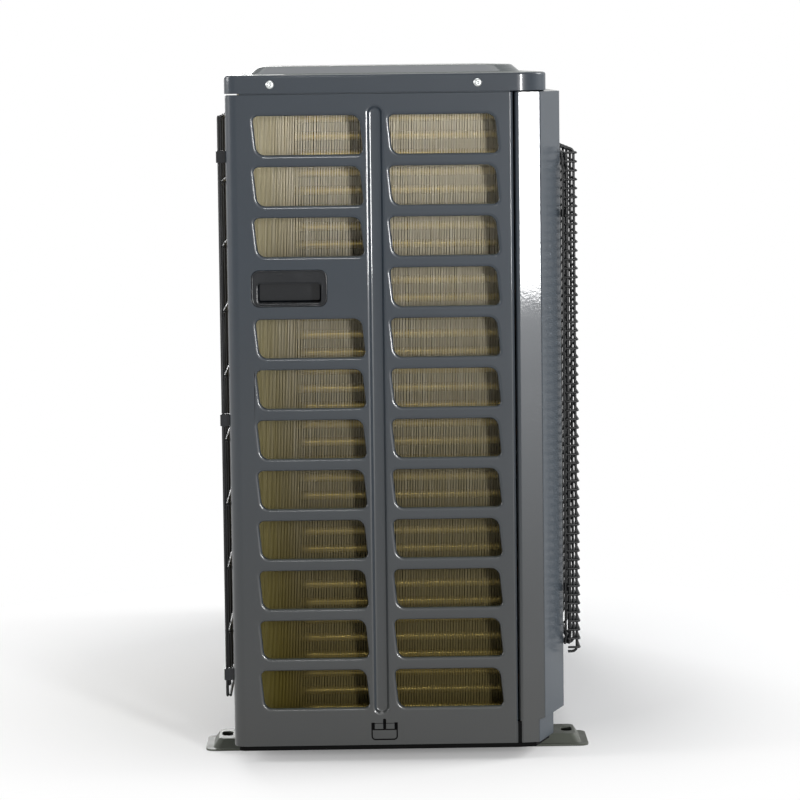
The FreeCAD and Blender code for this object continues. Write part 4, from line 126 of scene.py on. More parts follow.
def carried(route, width, sides, across, tall=None):
    """An ellipse carried along a route that lies in a plane: point = route + r cos(a) side + r sin(a) across,
    where side is square to the run and to the plane's own direction. Gives [points, sides, 3]."""
    route, across = np.asarray(route, float), np.asarray(across, float)
    run = np.gradient(route, axis=0)
    run[0], run[-1] = route[1] - route[0], route[-1] - route[-2]
    run /= np.linalg.norm(run, axis=1, keepdims=True)
    side = np.cross(run, across)
    side /= np.linalg.norm(side, axis=1, keepdims=True)
    turn = np.arange(sides) * 2 * math.pi / sides
    radius, height = width / 2, (tall or width) / 2
    return (route[:, None] + radius * np.cos(turn)[None, :, None] * side[:, None]
            + height * np.sin(turn)[None, :, None] * across[None, None])


def bent(corners, radius, steps):
    """Corner points joined by straight runs, with an arc of the radius at each inner corner: points on the
    arc are centre + radius times the unit vector that turns from one run's foot to the next run's."""
    corners = [np.asarray(corner, float) for corner in corners]
    route = [corners[0]]
    for before, corner, after in zip(corners, corners[1:], corners[2:]):
        back, ahead = before - corner, after - corner
        back, ahead = back / np.linalg.norm(back), ahead / np.linalg.norm(ahead)
        half = math.acos(np.clip(back @ ahead, -1, 1)) / 2
        inset = radius / math.tan(half)
        middle = corner + (back + ahead) / np.linalg.norm(back + ahead) * radius / math.sin(half)
        first, last = corner + back * inset - middle, corner + ahead * inset - middle
        share = np.linspace(0, 1, steps + 1)[:, None]
        angle = math.pi - 2 * half
        turned = np.sin((1 - share) * angle) * first + np.sin(share * angle) * last
        route += list(middle + turned / math.sin(angle))
    route.append(corners[-1])
    return np.array(route)


def lathe(profile, steps):
    """A profile of (place along Y, radius) turned about the fan's axis: point = (X + radius cos a, place,
    Z - radius sin a)."""
    profile = np.asarray(profile, float)
    along, radius = profile[:, :1], profile[:, 1:]
    turn = np.arange(steps) * 2 * math.pi / steps
    return np.stack([FAN_X + radius * np.cos(turn), along + 0 * turn, FAN_Z - radius * np.sin(turn)], -1)


def softened(node, finish, name=None, narrow=0.4, least=28.0, wide=(), reshape=None, steps=2,
             body="casing", free=False):
    """Stands for a CAD node: its copy with doubles merged, flat triangles joined and edges rounded.

    narrow is the radius of every edge sharper than least degrees. wide lists (test, radius): test takes the
    edges' middles, directions and normals on both sides, all in arrays, and picks those with that radius.
    reshape may move the points of the copy first. With free, short edges don't hold back the rest.
    """
    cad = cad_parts[node]
    work = bmesh.new()
    work.from_mesh(cad.data)
    layer = work.edges.layers.float.new("bevel_weight_edge")
    bmesh.ops.remove_doubles(work, verts=work.verts, dist=0.00002)
    bmesh.ops.dissolve_limit(work, angle_limit=math.radians(0.6), verts=work.verts, edges=work.edges)
    work.edges.ensure_lookup_table()
    if reshape:
        points = np.array([vertex.co for vertex in work.verts]) / MM
        for vertex, spot in zip(work.verts, reshape(points) * MM):
            vertex.co = spot
        work.normal_update()
    edges = [edge for edge in work.edges if len(edge.link_faces) == 2]
    middle = np.array([(edge.verts[0].co + edge.verts[1].co) * 0.5 for edge in edges]) / MM
    run = np.array([(edge.verts[1].co - edge.verts[0].co).normalized() for edge in edges])
    normals = np.array([[face.normal for face in edge.link_faces] for edge in edges])
    angle = np.degrees(np.array([edge.calc_face_angle(0.0) for edge in edges]))
    radius = np.where(angle > least, narrow, 0.0)
    for test, size in wide:
        radius = np.where(test(middle, run, normals) & (angle > least * 0.4), size, radius)
    largest = max(float(radius.max()) if len(radius) else 0.0, 0.001)
    for edge, size in zip(edges, radius):
        edge[layer] = float(size) / largest
    data = bpy.data.meshes.new(name or node + "_shown")
    work.to_mesh(data)
    work.free()
    data.update()
    thing = dressed(name or node + "_shown", data, finish, body, (node,), True, None)
    data.set_sharp_from_angle(angle=math.radians(least))
    flags = np.zeros(len(data.edges), bool)
    data.attributes["sharp_edge"].data.foreach_get("value", flags)
    weights = np.zeros(len(data.edges), np.float32)
    data.attributes["bevel_weight_edge"].data.foreach_get("value", weights)
    data.attributes["sharp_edge"].data.foreach_set("value", flags & (weights <= 0))
    bevel = thing.modifiers.new("rounded_edges", "BEVEL")
    bevel.limit_method = "WEIGHT"
    bevel.width = largest * MM
    bevel.segments = steps
    bevel.use_clamp_overlap = not free
    level = thing.modifiers.new("level_faces", "WEIGHTED_NORMAL")
    level.keep_sharp = True


# Finishes.

WHITE = (1.0, 1.0, 1.0, 1.0)


def linear(code):
    """sRGB hex to linear light: v / 12.92 up to 0.04045, else ((v + 0.055) / 1.055) to the power 2.4."""
    values = np.array([int(code[spot:spot + 2], 16) for spot in (1, 3, 5)]) / 255
    values = np.where(values <= 0.04045, values / 12.92, ((values + 0.055) / 1.055) ** 2.4)
    return (*values.tolist(), 1.0)


def add(tree, kind, sockets=None, **settings):
    """Adds a shader node with its settings; a socket is given a value, or another node's output to link."""
    made = tree.nodes.new("ShaderNode" + kind)
    for key, value in settings.items():
        setattr(made, key, value)
    for key, value in (sockets or {}).items():
        if isinstance(value, bpy.types.NodeSocket):
            tree.links.new(value, made.inputs[key])
        else:
            made.inputs[key].default_value = value
    return made


def begin(name, colour, **sockets):
    """A material with its Principled shader, and the place on the object for its patterns."""
    made = bpy.data.materials.new(name)
    made.use_nodes = True
    tree = made.node_tree
    tree.nodes.clear()
    named = {key.replace("_", " "): value for key, value in sockets.items()}
    shader = add(tree, "BsdfPrincipled", {"Base Color": linear(colour), **named})
    add(tree, "OutputMaterial", {"Surface": shader.outputs["BSDF"]})
    return made, tree, shader, add(tree, "TexCoord").outputs["Object"]


def seen_white(tree):
    """1 for rays from the camera, from gloss and through glass, which see the backdrop as white, else 0."""
    path = add(tree, "LightPath").outputs
    direct = add(tree, "Math", {0: path["Is Camera Ray"], 1: path["Is Glossy Ray"]}, operation="MAXIMUM")
    seen = add(tree, "Math", {0: direct.outputs[0], 1: path["Is Transmission Ray"]}, operation="MAXIMUM")
    return seen.outputs[0]


def baked_paint(name, light, dark, gloss, peel):
    """Polyester powder paint baked on zinc-coated sheet: even colour under a bright gloss that a fine orange
    peel breaks up, with painted warm floor light low down, a greenish grey dust that dulls whatever faces up,
    and chalking that takes the gloss off what faces the fan side, whose paler colour is partly painted light."""
    made, tree, shader, place = begin(name, light, IOR=1.36, Coat_Roughness=0.05)
    # Cloudy patches about 120 mm across.
    cloud = add(tree, "TexNoise", {"Vector": place, "Scale": 8.0, "Detail": 3.0}).outputs["Fac"]
    clean = add(tree, "Mix", {0: cloud, 6: linear(dark), 7: linear(light)}, data_type="RGBA")
    # Painted light: the warm light that the floor throws up, warmer and paler, fades out half a metre above
    # the floor.
    level = add(tree, "SeparateXYZ", {"Vector": place}).outputs["Z"]
    floor_bounce = add(tree, "MapRange", {"Value": level, "From Min": 0.5, "From Max": 0.05,
                                    "To Max": 0.6}).outputs["Result"]
    floor_lit = add(tree, "Mix", {0: floor_bounce, 6: clean.outputs[2], 7: linear("#3b3933")}, data_type="RGBA")
    normal = add(tree, "NewGeometry").outputs["Normal"]
    facing = add(tree, "SeparateXYZ", {"Vector": normal}).outputs
    dust = add(tree, "MapRange", {"Value": facing["Z"], "From Min": 0.75, "From Max": 0.97}).outputs["Result"]
    dusty = add(tree, "Mix", {0: dust, 6: floor_lit.outputs[2], 7: linear("#4d5450")}, data_type="RGBA")
    # Sun and rain chalk what faces the fan side and take most of its gloss; its paler colour is partly
    # painted light, standing in for the reflection that the gloss would give.
    chalk_and_light = {"Value": facing["Y"], "From Min": -0.5, "From Max": -0.85}
    chalk_and_light_share = add(tree, "MapRange", chalk_and_light).outputs["Result"]
    # Paler colour on the fan side: partly chalk, partly painted light.
    chalked_and_lit = add(tree, "Mix", {0: chalk_and_light_share, 6: dusty.outputs[2], 7: linear("#42484e")}, data_type="RGBA")
    tree.links.new(chalked_and_lit.outputs[2], shader.inputs["Base Color"])
    mirror = add(tree, "MapRange", {**chalk_and_light, "To Min": 0.5, "To Max": 0.12}).outputs["Result"]
    mirror = add(tree, "Mix", {0: dust, 2: mirror, 3: 0.25})
    tree.links.new(mirror.outputs[0], shader.inputs["Specular IOR Level"])
    coat = add(tree, "MapRange", {**chalk_and_light, "To Min": 0.5, "To Max": 0.06})
    tree.links.new(coat.outputs["Result"], shader.inputs["Coat Weight"])
    rough = add(tree, "MapRange", {"Value": cloud, "From Min": 0.3, "From Max": 0.7, "To Min": gloss,
                                   "To Max": gloss + 0.05}).outputs["Result"]
    rough = add(tree, "Mix", {0: dust, 2: rough, 3: 0.62})
    tree.links.new(rough.outputs[0], shader.inputs["Roughness"])
    # Orange peel of a powder coat: swells 2.5 mm apart.
    swell = add(tree, "TexNoise", {"Vector": place, "Scale": 400.0, "Detail": 1.0}).outputs["Fac"]
    bump = add(tree, "Bump", {"Height": swell, "Strength": peel, "Distance": 0.0002})
    for socket in ("Normal", "Coat Normal"):
        tree.links.new(bump.outputs["Normal"], shader.inputs[socket])
    return made


def coil_finish(name, top, low_shaded, dust, metallic, rough):
    """Epoxy film over aluminium or copper: golden, with painted shade that makes it darker and browner low
    down and painted light that makes it paler and greyer near the top, with upright streaks where the film is
    thicker."""
    made, tree, shader, place = begin(name, top, IOR=1.45, Metallic=metallic, Roughness=rough,
                                      Specular_IOR_Level=0.3)
    spot = add(tree, "SeparateXYZ", {"Vector": place}).outputs
    # Painted shade and light: the film darkens towards the foot of the block and pales towards its top.
    height = add(tree, "MapRange", {"Value": spot["Z"], "From Min": 0.02, "From Max": 0.66})
    height = add(tree, "Math", {0: height.outputs["Result"], 1: 2.2}, operation="POWER")
    height_shaded = add(tree, "Mix", {0: height.outputs[0], 6: linear(low_shaded), 7: linear(top)}, data_type="RGBA")
    # Streaks about 3 mm wide and 80 mm tall.
    stretched = add(tree, "Mapping", {"Vector": place, "Scale": (300.0, 300.0, 12.0)})
    streak = add(tree, "TexNoise", {"Vector": stretched.outputs["Vector"], "Scale": 1.0, "Detail": 2.0})
    thick = add(tree, "MapRange", {"Value": streak.outputs["Fac"], "From Min": 0.42, "From Max": 0.75,
                                   "To Max": 0.7})
    # The pale streaks fade out downwards with the same painted shade.
    share = add(tree, "Math", {0: thick.outputs["Result"], 1: height.outputs[0]}, operation="MULTIPLY")
    film = add(tree, "Mix", {0: share.outputs[0], 6: height_shaded.outputs[2], 7: linear(dust)},
               data_type="RGBA").outputs[2]
    # The film is darker and more olive towards the rear corner where the block bends.
    rear = add(tree, "MapRange", {"Value": spot["Y"], "From Min": 0.1, "From Max": 0.135, "To Max": 0.6})
    end = add(tree, "MapRange", {"Value": spot["X"], "From Min": -0.35, "From Max": -0.38})
    corner = add(tree, "Math", {0: rear.outputs["Result"], 1: end.outputs["Result"]}, operation="MULTIPLY")
    olive = add(tree, "Mix", {0: 0.8, 6: film, 7: linear("#6c6420")}, data_type="RGBA")
    tinted = add(tree, "Mix", {0: corner.outputs[0], 6: film, 7: olive.outputs[2]}, data_type="RGBA")
    tree.links.new(tinted.outputs[2], shader.inputs["Base Color"])
    return made


def moulded(name, colour, rough, grain, depth, shine=0.5):
    """Injection-moulded plastic with the fine spark-eroded grain of its mould, worn a little smoother in
    patches; grain is the distance between its pits in millimetres. Dip coats and enamels have a wide grain,
    as their flow marks."""
    made, tree, shader, place = begin(name, colour, IOR=1.49, Specular_IOR_Level=shine)
    pits = add(tree, "TexNoise", {"Vector": place, "Scale": 1000.0 / grain, "Detail": 2.0})
    bump = add(tree, "Bump", {"Height": pits.outputs["Fac"], "Strength": depth, "Distance": 0.0002})
    tree.links.new(bump.outputs["Normal"], shader.inputs["Normal"])
    worn = add(tree, "TexNoise", {"Vector": place, "Scale": 30.0, "Detail": 3.0})
    gloss = add(tree, "MapRange", {"Value": worn.outputs["Fac"], "From Min": 0.35, "From Max": 0.65,
                                   "To Min": rough - 0.06, "To Max": rough + 0.06})
    tree.links.new(gloss.outputs["Result"], shader.inputs["Roughness"])
    return made


def metal(name, colour, dull, rough, stretch, depth, stain=0.5):
    """Bare or plated metal: stretch gives the size of its marks in millimetres along each axis, such as draw
    lines or crystals, and dull the colour of its tarnish."""
    made, tree, shader, place = begin(name, colour, Metallic=1.0)
    scale = tuple(1000.0 / size for size in stretch)
    marks = add(tree, "Mapping", {"Vector": place, "Scale": scale})
    lines = add(tree, "TexNoise", {"Vector": marks.outputs["Vector"], "Scale": 1.0,
                                   "Detail": 3.0}).outputs["Fac"]
    bump = add(tree, "Bump", {"Height": lines, "Strength": depth, "Distance": 0.0001})
    tree.links.new(bump.outputs["Normal"], shader.inputs["Normal"])
    cloud = add(tree, "TexNoise", {"Vector": place, "Scale": 45.0, "Detail": 4.0})
    tarnish = add(tree, "MapRange", {"Value": cloud.outputs["Fac"], "From Min": 0.4, "From Max": 0.7,
                                     "To Max": stain})
    tint = add(tree, "Mix", {0: tarnish.outputs["Result"], 6: linear(colour), 7: linear(dull)},
               data_type="RGBA")
    tree.links.new(tint.outputs[2], shader.inputs["Base Color"])
    gloss = add(tree, "MapRange", {"Value": lines, "To Min": rough - 0.08, "To Max": rough + 0.1})
    tree.links.new(gloss.outputs["Result"], shader.inputs["Roughness"])
    return made


def spangled(name, bright, dim):
    """Hot-dip zinc on sheet steel: flat crystals some 9 mm across, each with its own grey and gloss."""
    made, tree, shader, place = begin(name, bright, Metallic=1.0)
    crystal = add(tree, "TexVoronoi", {"Vector": place, "Scale": 110.0, "Randomness": 1.0})
    grey = add(tree, "SeparateColor", {"Color": crystal.outputs["Color"]}).outputs
    tint = add(tree, "Mix", {0: grey[0], 6: linear(dim), 7: linear(bright)}, data_type="RGBA")
    tree.links.new(tint.outputs[2], shader.inputs["Base Color"])
    gloss = add(tree, "MapRange", {"Value": grey[1], "To Min": 0.34, "To Max": 0.52})
    tree.links.new(gloss.outputs["Result"], shader.inputs["Roughness"])
    return made


def printed_board(name, mask, copper):
    """Fibreglass board under green solder mask: pale copper tracks 1.2 mm wide show through the lacquer."""
    made, tree, shader, place = begin(name, mask, IOR=1.5, Roughness=0.28)
    tracks = add(tree, "TexBrick", {"Vector": place, "Scale": 60.0, "Mortar Size": 0.03,
                                    "Color1": linear(mask), "Color2": linear(mask), "Mortar": linear(copper)})
    tree.links.new(tracks.outputs["Color"], shader.inputs["Base Color"])
    return made


def pale_floor(name):
    """Matt paper floor that shows shadows; to the camera it fades into white from 0.36 to 0.72 m out."""
    made, tree, shader, place = begin(name, "#f2f2f2", Roughness=0.9)
    flat = add(tree, "VectorMath", {0: place, 1: (1.0, 1.0, 0.0)}, operation="MULTIPLY")
    away = add(tree, "VectorMath", {0: flat.outputs[0]}, operation="LENGTH").outputs["Value"]
    fade = add(tree, "MapRange", {"Value": away, "From Min": 0.36, "From Max": 0.72})
    # Paper has a slight tooth of about 1.5 mm.
    tooth = add(tree, "TexNoise", {"Vector": place, "Scale": 650.0, "Detail": 2.0})
    bump = add(tree, "Bump", {"Height": tooth.outputs["Fac"], "Strength": 0.05, "Distance": 0.0002})
    tree.links.new(bump.outputs["Normal"], shader.inputs["Normal"])
    share = add(tree, "Math", {0: seen_white(tree), 1: fade.outputs["Result"]}, operation="MULTIPLY")
    white = add(tree, "Emission", {"Color": WHITE, "Strength": 1.0})
    mixed = add(tree, "MixShader", {0: share.outputs[0], 1: shader.outputs["BSDF"], 2: white.outputs[0]})
    tree.links.new(mixed.outputs[0], tree.nodes["Material Output"].inputs["Surface"])
    return made


# Casing sheet under powder paint: an even blue grey with a bright gloss.
PAINT = baked_paint("graphite_polyester_powder_coat", "#262f38", "#242c34", 0.3, 0.07)
# Fins and tubes under the epoxy film: fins straw and half matt, tubes gold with a soft metal shine, both
# darker towards the foot of the block through painted shade.
FINS = coil_finish("epoxy_coated_aluminium_fins", "#efe4c6", "#5e5224", "#f6f0e2", 0.0, 0.5)
TUBES_FINISH = coil_finish("epoxy_coated_copper_tubes", "#c4a750", "#a8924a", "#d2b866", 0.45, 0.24)
# Dip-coated guard wire: black with a waxy sheen.
WIRE = moulded("polyethylene_coated_steel_wire", "#101112", 0.42, 3.0, 0.1, 0.35)
# Grips and clips are near black and glossy, the valve cover is grey and half matt, the fan is charcoal.
BLACK_MOULDED = moulded("moulded_black_polypropylene", "#0e1115", 0.2, 0.9, 0.06, 0.42)
COVER_MOULDED = moulded("moulded_graphite_asa", "#45494e", 0.5, 0.9, 0.25)
FAN_MOULDED = moulded("glass_filled_fan_polypropylene", "#232527", 0.42, 1.6, 0.2)
# Resin round the motor is an off-white with a dull skin, and the grommets are matt black.
MOTOR_RESIN = moulded("moulded_polyester_resin_motor", "#c9c6bb", 0.55, 1.4, 0.3)
RUBBER = moulded("moulded_epdm_rubber", "#1c1b1a", 0.75, 1.2, 0.4)
# Enamel of the vessels is a deep black, and the base pan takes the same black as painted shade; dust has
# turned the feet a matt olive grey.
ENAMEL_AND_SHADE_BLACK = moulded("baked_black_enamel_and_painted_shade", "#080808", 0.6, 4.0, 0.08, 0.05)
FEET = moulded("dusty_baked_foot_paint", "#4f524b", 0.55, 2.5, 0.15, 0.18)
# Foam seals and the black strips of painted shade take in nearly all light, and the capacitors' sleeves are
# dark blue with a soft gloss.
FOAM_AND_SHADE_BLACK = moulded("black_foam_and_painted_shade", "#060606", 0.9, 0.9, 0.3, 0.1)
CASES = moulded("shrink_sleeved_capacitor_cases", "#2b3350", 0.38, 3.0, 0.06)
# Plated screws are bright silver, and galvanised sheet shows pale grey crystals.
ZINC_SCREW = metal("zinc_plated_screw_steel", "#c9cccb", "#8f918f", 0.3, (0.8, 0.8, 0.8), 0.2, 0.3)
ZINC_SHEET = spangled("hot_dip_galvanised_sheet", "#b9bdbd", "#8d9293")
# Pipe has upright draw lines and brown patches, brass a sandy skin, the heat sink lines along its length.
COPPER = metal("drawn_copper_pipe", "#c9825f", "#8a5138", 0.26, (6.0, 6.0, 60.0), 0.12)
BRASS = metal("forged_brass", "#c9a869", "#8f7440", 0.34, (1.2, 1.2, 1.2), 0.3)
ALUMINIUM = metal("extruded_aluminium", "#c5c8ca", "#9ea2a5", 0.38, (40.0, 0.6, 0.6), 0.2, 0.3)
BOARD = printed_board("solder_masked_board", "#12502c", "#3f7a3c")


# Camera and studio.

# The camera was fitted to the photograph: metres, radians, and the picture's focus and horizon in pixels.
CAMERA_PLACE = (-3.79476, 0.03668, 0.70512)
YAW, PITCH, ROLL = -0.01304, 0.08656, -0.01190
PICTURE, FOCUS, MIDDLE_ROW = 800, 3328.69, 348.88


def camera():
    """The camera at the photograph's place: 3.3 m from the coil end, a little higher than the unit."""
    ahead = np.array([math.cos(PITCH) * math.cos(YAW), math.cos(PITCH) * math.sin(YAW), -math.sin(PITCH)])
    side = np.array([math.sin(YAW), -math.cos(YAW), 0.0])
    above = np.cross(side, ahead)
    across = math.cos(ROLL) * side + math.sin(ROLL) * above
    upright = math.cos(ROLL) * above - math.sin(ROLL) * side
    data = bpy.data.cameras.new("camera")
    data.sensor_width, data.lens = 36.0, 36.0 * FOCUS / PICTURE
    data.shift_y = (MIDDLE_ROW - PICTURE / 2) / PICTURE
    data.clip_start, data.clip_end = 0.1, 60.0
    thing = bpy.data.objects.new("camera", data)
    turn = Matrix((across.tolist(), upright.tolist(), (-ahead).tolist())).transposed()
    thing.matrix_world = Matrix.Translation(CAMERA_PLACE) @ turn.to_4x4()
    bpy.context.scene.collection.objects.link(thing)
    bpy.context.scene.camera = thing


def lamp(name, place, aim, size, power, tall=None):
    """A soft box: an area lamp at place that faces aim, in metres and watts."""
    data = bpy.data.lights.new(name, "AREA")
    data.shape = "RECTANGLE"
    data.size, data.size_y = size, tall or size
    data.energy = power
    thing = bpy.data.objects.new(name, data)
    thing.location = place
    thing.rotation_euler = (Vector(aim) - Vector(place)).to_track_quat("-Z", "Y").to_euler()
    bpy.context.scene.collection.objects.link(thing)


def studio():
    """A room of pale grey light whose backdrop is white to the camera, to gloss and to glass, with soft boxes
    and a floor."""
    world = bpy.data.worlds.new("studio")
    bpy.context.scene.world = world
    world.use_nodes = True
    tree = world.node_tree
    tree.nodes.clear()
    room = add(tree, "Background", {"Color": linear("#dfe3e8"), "Strength": 0.06})
    backdrop = add(tree, "Background", {"Color": WHITE, "Strength": 1.0})
    both = add(tree, "MixShader", {0: seen_white(tree), 1: room.outputs[0], 2: backdrop.outputs[0]})
    add(tree, "OutputWorld", {"Surface": both.outputs[0]})
    panel, unit = (-0.48, 0.0, 0.34), (-0.1, 0.0, 0.35)
    # The key stands 20 degrees from the end panel's own direction towards the fan side.
    lamp("key_box", (-3.49, -1.3, 0.74), panel, 0.36, 76.0, 1.0)
    # A small box above the camera draws the bright lines along the lower lips.
    lamp("edge_box", (-3.4, 0.1, 1.5), panel, 0.2, 3.6)
    lamp("front_box", (0.5, -3.3, 1.8), unit, 1.6, 105.0)
    lamp("rear_box", (-0.6, 3.4, 1.5), unit, 1.6, 80.0)
    lamp("right_box", (3.4, 0.9, 1.4), (0.42, 0.0, 0.35), 1.4, 85.0)
    lamp("top_box", (0.0, 0.0, 3.2), (0.0, 0.0, 0.3), 1.8, 30.0)
    reach = np.linspace(-30000, 30000, 9)
    sheet = Parts()
    across, along = np.meshgrid(reach, reach, indexing="ij")
    sheet.grid(np.stack([across, along, np.zeros_like(across)], -1))
    data = bpy.data.meshes.new("studio_floor")
    data.from_pydata((np.concatenate(sheet.points) * MM).tolist(), [], sheet.faces)
    data.materials.append(pale_floor("matt_paper_floor"))
    floor = bpy.data.objects.new("studio_floor", data)
    bpy.context.scene.collection.objects.link(floor)
    bpy.context.scene.view_settings.view_transform = "Standard"


camera()
studio()


# Casing.

def near(values, target, play=0.06):
    """Which values lie within the play of the target."""
    return np.abs(values - target) < play


def in_vents(spots, play=0.15):
    """Which points lie on or in the slots of the coil-end panel."""
    row = (VENT_TOP - spots[:, 2] + play) / VENT_PITCH
    in_row = (row > 0) & (row < VENT_ROWS) & ((row % 1) * VENT_PITCH < VENT_HEIGHT + 2 * play)

    def column(end):
        return (spots[:, 1] > end - VENT_WIDTH - VENT_LEAN - play) & (spots[:, 1] < end + play)

    return in_row & (column(REAR_VENTS) & (np.floor(row) != GRIP_ROW) | column(FRONT_VENTS))


def end_panel():
    """The coil-end panel with folded edges; its slots open 2.2 mm wider, to leave room for their lips."""
    wider, front_fold = 2.2, -121.5
    half_width = (VENT_WIDTH + VENT_LEAN) / 2

    def reshape(spots):
        spots = spots.copy()
        inside = in_vents(spots) & (spots[:, 0] < LEFT + 1.3)
        row = np.floor((VENT_TOP + 0.15 - spots[:, 2]) / VENT_PITCH)
        middle_z = VENT_TOP - row * VENT_PITCH - VENT_HEIGHT / 2
        middle_y = np.where(spots[:, 1] > 15, REAR_VENTS, FRONT_VENTS) - half_width
        spots[:, 1] += np.where(inside, (spots[:, 1] - middle_y) * wider / half_width, 0)
        spots[:, 2] += np.where(inside, (spots[:, 2] - middle_z) * wider / (VENT_HEIGHT / 2), 0)
        return spots

    def fold(middle, run, normals):
        return near(middle[:, 0], LEFT) & near(middle[:, 1], front_fold, 0.3)

    softened("left_side_panel", PAINT, "end_panel", 0.35, wide=[(fold, 3.2)], reshape=reshape,
             steps=3, free=True)


def rounded(corners, radii, out, steps):
    """Points of a four-cornered outline pushed out by a distance: corner arc = centre + (radius + out) times
    a unit vector that turns from one side's outward direction to the next one's."""
    corners = np.asarray(corners, float)
    run = np.roll(corners, -1, 0) - corners
    run /= np.linalg.norm(run, axis=1, keepdims=True)
    outward = np.stack([run[:, 1], -run[:, 0]], -1)
    ring = []
    for corner, radius, before, after in zip(corners, radii, np.roll(outward, 1, 0), outward):
        centre = corner - (before + after) * radius / (1 + before @ after)
        share = np.linspace(0, 1, steps)[:, None]
        angle = math.acos(np.clip(before @ after, -1, 1))
        unit = (np.sin((1 - share) * angle) * before + np.sin(share * angle) * after) / math.sin(angle)
        ring.append(centre + unit * (radius + out))
    return np.concatenate(ring)


def pressed(parts, rings, closed):
    """Rings of (outline, place along X) joined row by row into one skin, as a loop of rows or capped."""
    points = np.array([np.column_stack([np.full(len(ring), along), ring]) for ring, along in rings])
    parts.grid(points, wrap_rows=closed, wrap_columns=True, caps=not closed)


def upright_box(middle, width, low, tall):
    """Corners of an upright rectangle across the unit, in the order that rounded takes."""
    rear, front = middle + width / 2, middle - width / 2
    return [(rear, low + tall), (front, low + tall), (front, low), (rear, low)]


def slot_lips():
    """Lips of the slots: a profile that leaves the panel 3.2 mm outside the opening, falls at 8.5 to 14
    degrees for 1.5 mm, rolls over and runs 5 mm inwards, carried round each leaning opening, whose corners
    have radii of 9 and 5 mm."""
    profile = [(3.25, -0.06), (3.0, -0.055), (2.9, -0.04), (2.4, 0.035), (1.9, 0.13), (1.4, 0.255),
               (1.0, 0.45), (0.6, 0.8), (0.3, 1.25), (0.1, 1.8), (0.0, 2.5), (0.0, 5.2), (0.9, 5.2),
               (0.9, 2.2), (3.25, 0.9)]
    parts = Parts()
    for rear in (REAR_VENTS, FRONT_VENTS):
        for row in range(VENT_ROWS):
            if (rear, row) == (REAR_VENTS, GRIP_ROW):
                continue
            top, front = VENT_TOP - row * VENT_PITCH, rear - VENT_WIDTH
            low = top - VENT_HEIGHT
            corners = [(rear, top), (front, top), (front - VENT_LEAN, low), (rear - VENT_LEAN, low)]
            rings = [(rounded(corners, (5, 9, 5, 9), out, 9), LEFT + along) for out, along in profile]
            pressed(parts, rings, True)
    piece("slot_lips", parts, PAINT, sharp=42, outward=True)


def groove():
    """Groove between the slots: a stadium outline whose rings step inwards, 1 mm wide at 10.5 degrees, down a
    steep flank, 1 mm at 10.5 degrees again and to a flat floor 3.9 mm deep."""
    place, half_width, foot, head = 16, 8.5, 47, 661
    front = [(8.35, 3.85), (5.0, 3.84), (4.55, 3.81), (4.4, 3.79), (3.35, 3.6), (3.2, 3.55), (2.9, 3.3),
             (1.15, 0.5), (0.85, 0.25), (0.7, 0.21), (-0.35, 0.015), (-0.5, -0.03), (-0.8, -0.05),
             (-1.2, -0.05)]
    back = [(-1.2, 0.9), (-0.4, 0.9), (3.0, 4.6), (8.35, 4.7)]
    rings = []
    for inset, along in front + back:
        half = half_width - inset
        corners = upright_box(place, 2 * half, foot + inset, head - foot - 2 * inset)
        rings.append((rounded(corners, [half - 0.001] * 4, 0.0, 9), LEFT + along))
    parts = Parts()
    pressed(parts, rings, False)
    piece("pressed_groove", parts, PAINT, sharp=60, outward=True)


def hook_slot():
    """Painted shade at the hook slot: black strips round the sides and foot of its tab and along its top, and
    a black pad behind its three windows, where the gaps lie in shade; and the black foam in the seam between
    the end panel and the fan front, a gasket that also stands in for the seam's shade."""
    place, rear, front, foot, top = LEFT - 0.02, 26.2, 0.8, 21.8, 39.0
    parts = Parts()
    outline = [(place, rear, top), (place, rear, foot), (place, front, foot), (place, front, top)]
    # Black strips of painted shade round the tab's sides and foot, and along its top.
    parts.rod(bent(outline, 3.4, 6), 1.3, 8, X_WAY, 0.12)
    for level, width in ((32.0, 1.2), (38.3, 0.6)):
        route = [(place, y, level) for y in (rear - 0.4, 18.0, 9.0, front + 0.4)]
        parts.rod(route, width, 8, X_WAY, 0.12)
    # A black pad of painted shade behind the three windows.
    parts.rod([(LEFT + 1.35, y, 37.4) for y in (28.0, 18.0, 9.0, -1.0)], 16.0, 16, X_WAY, 0.2)
    # Foam gasket in the seam, which also darkens it as its shade would.
    seam = [(LEFT + 11.0, -122.2, level) for level in (40.0, 250.0, 460.0, 671.0)]
    parts.rod(seam, 1.3, 12, X_WAY, 3.0)
    piece("black_shade_and_foam_strips", parts, FOAM_AND_SHADE_BLACK, sharp=50, outward=True)


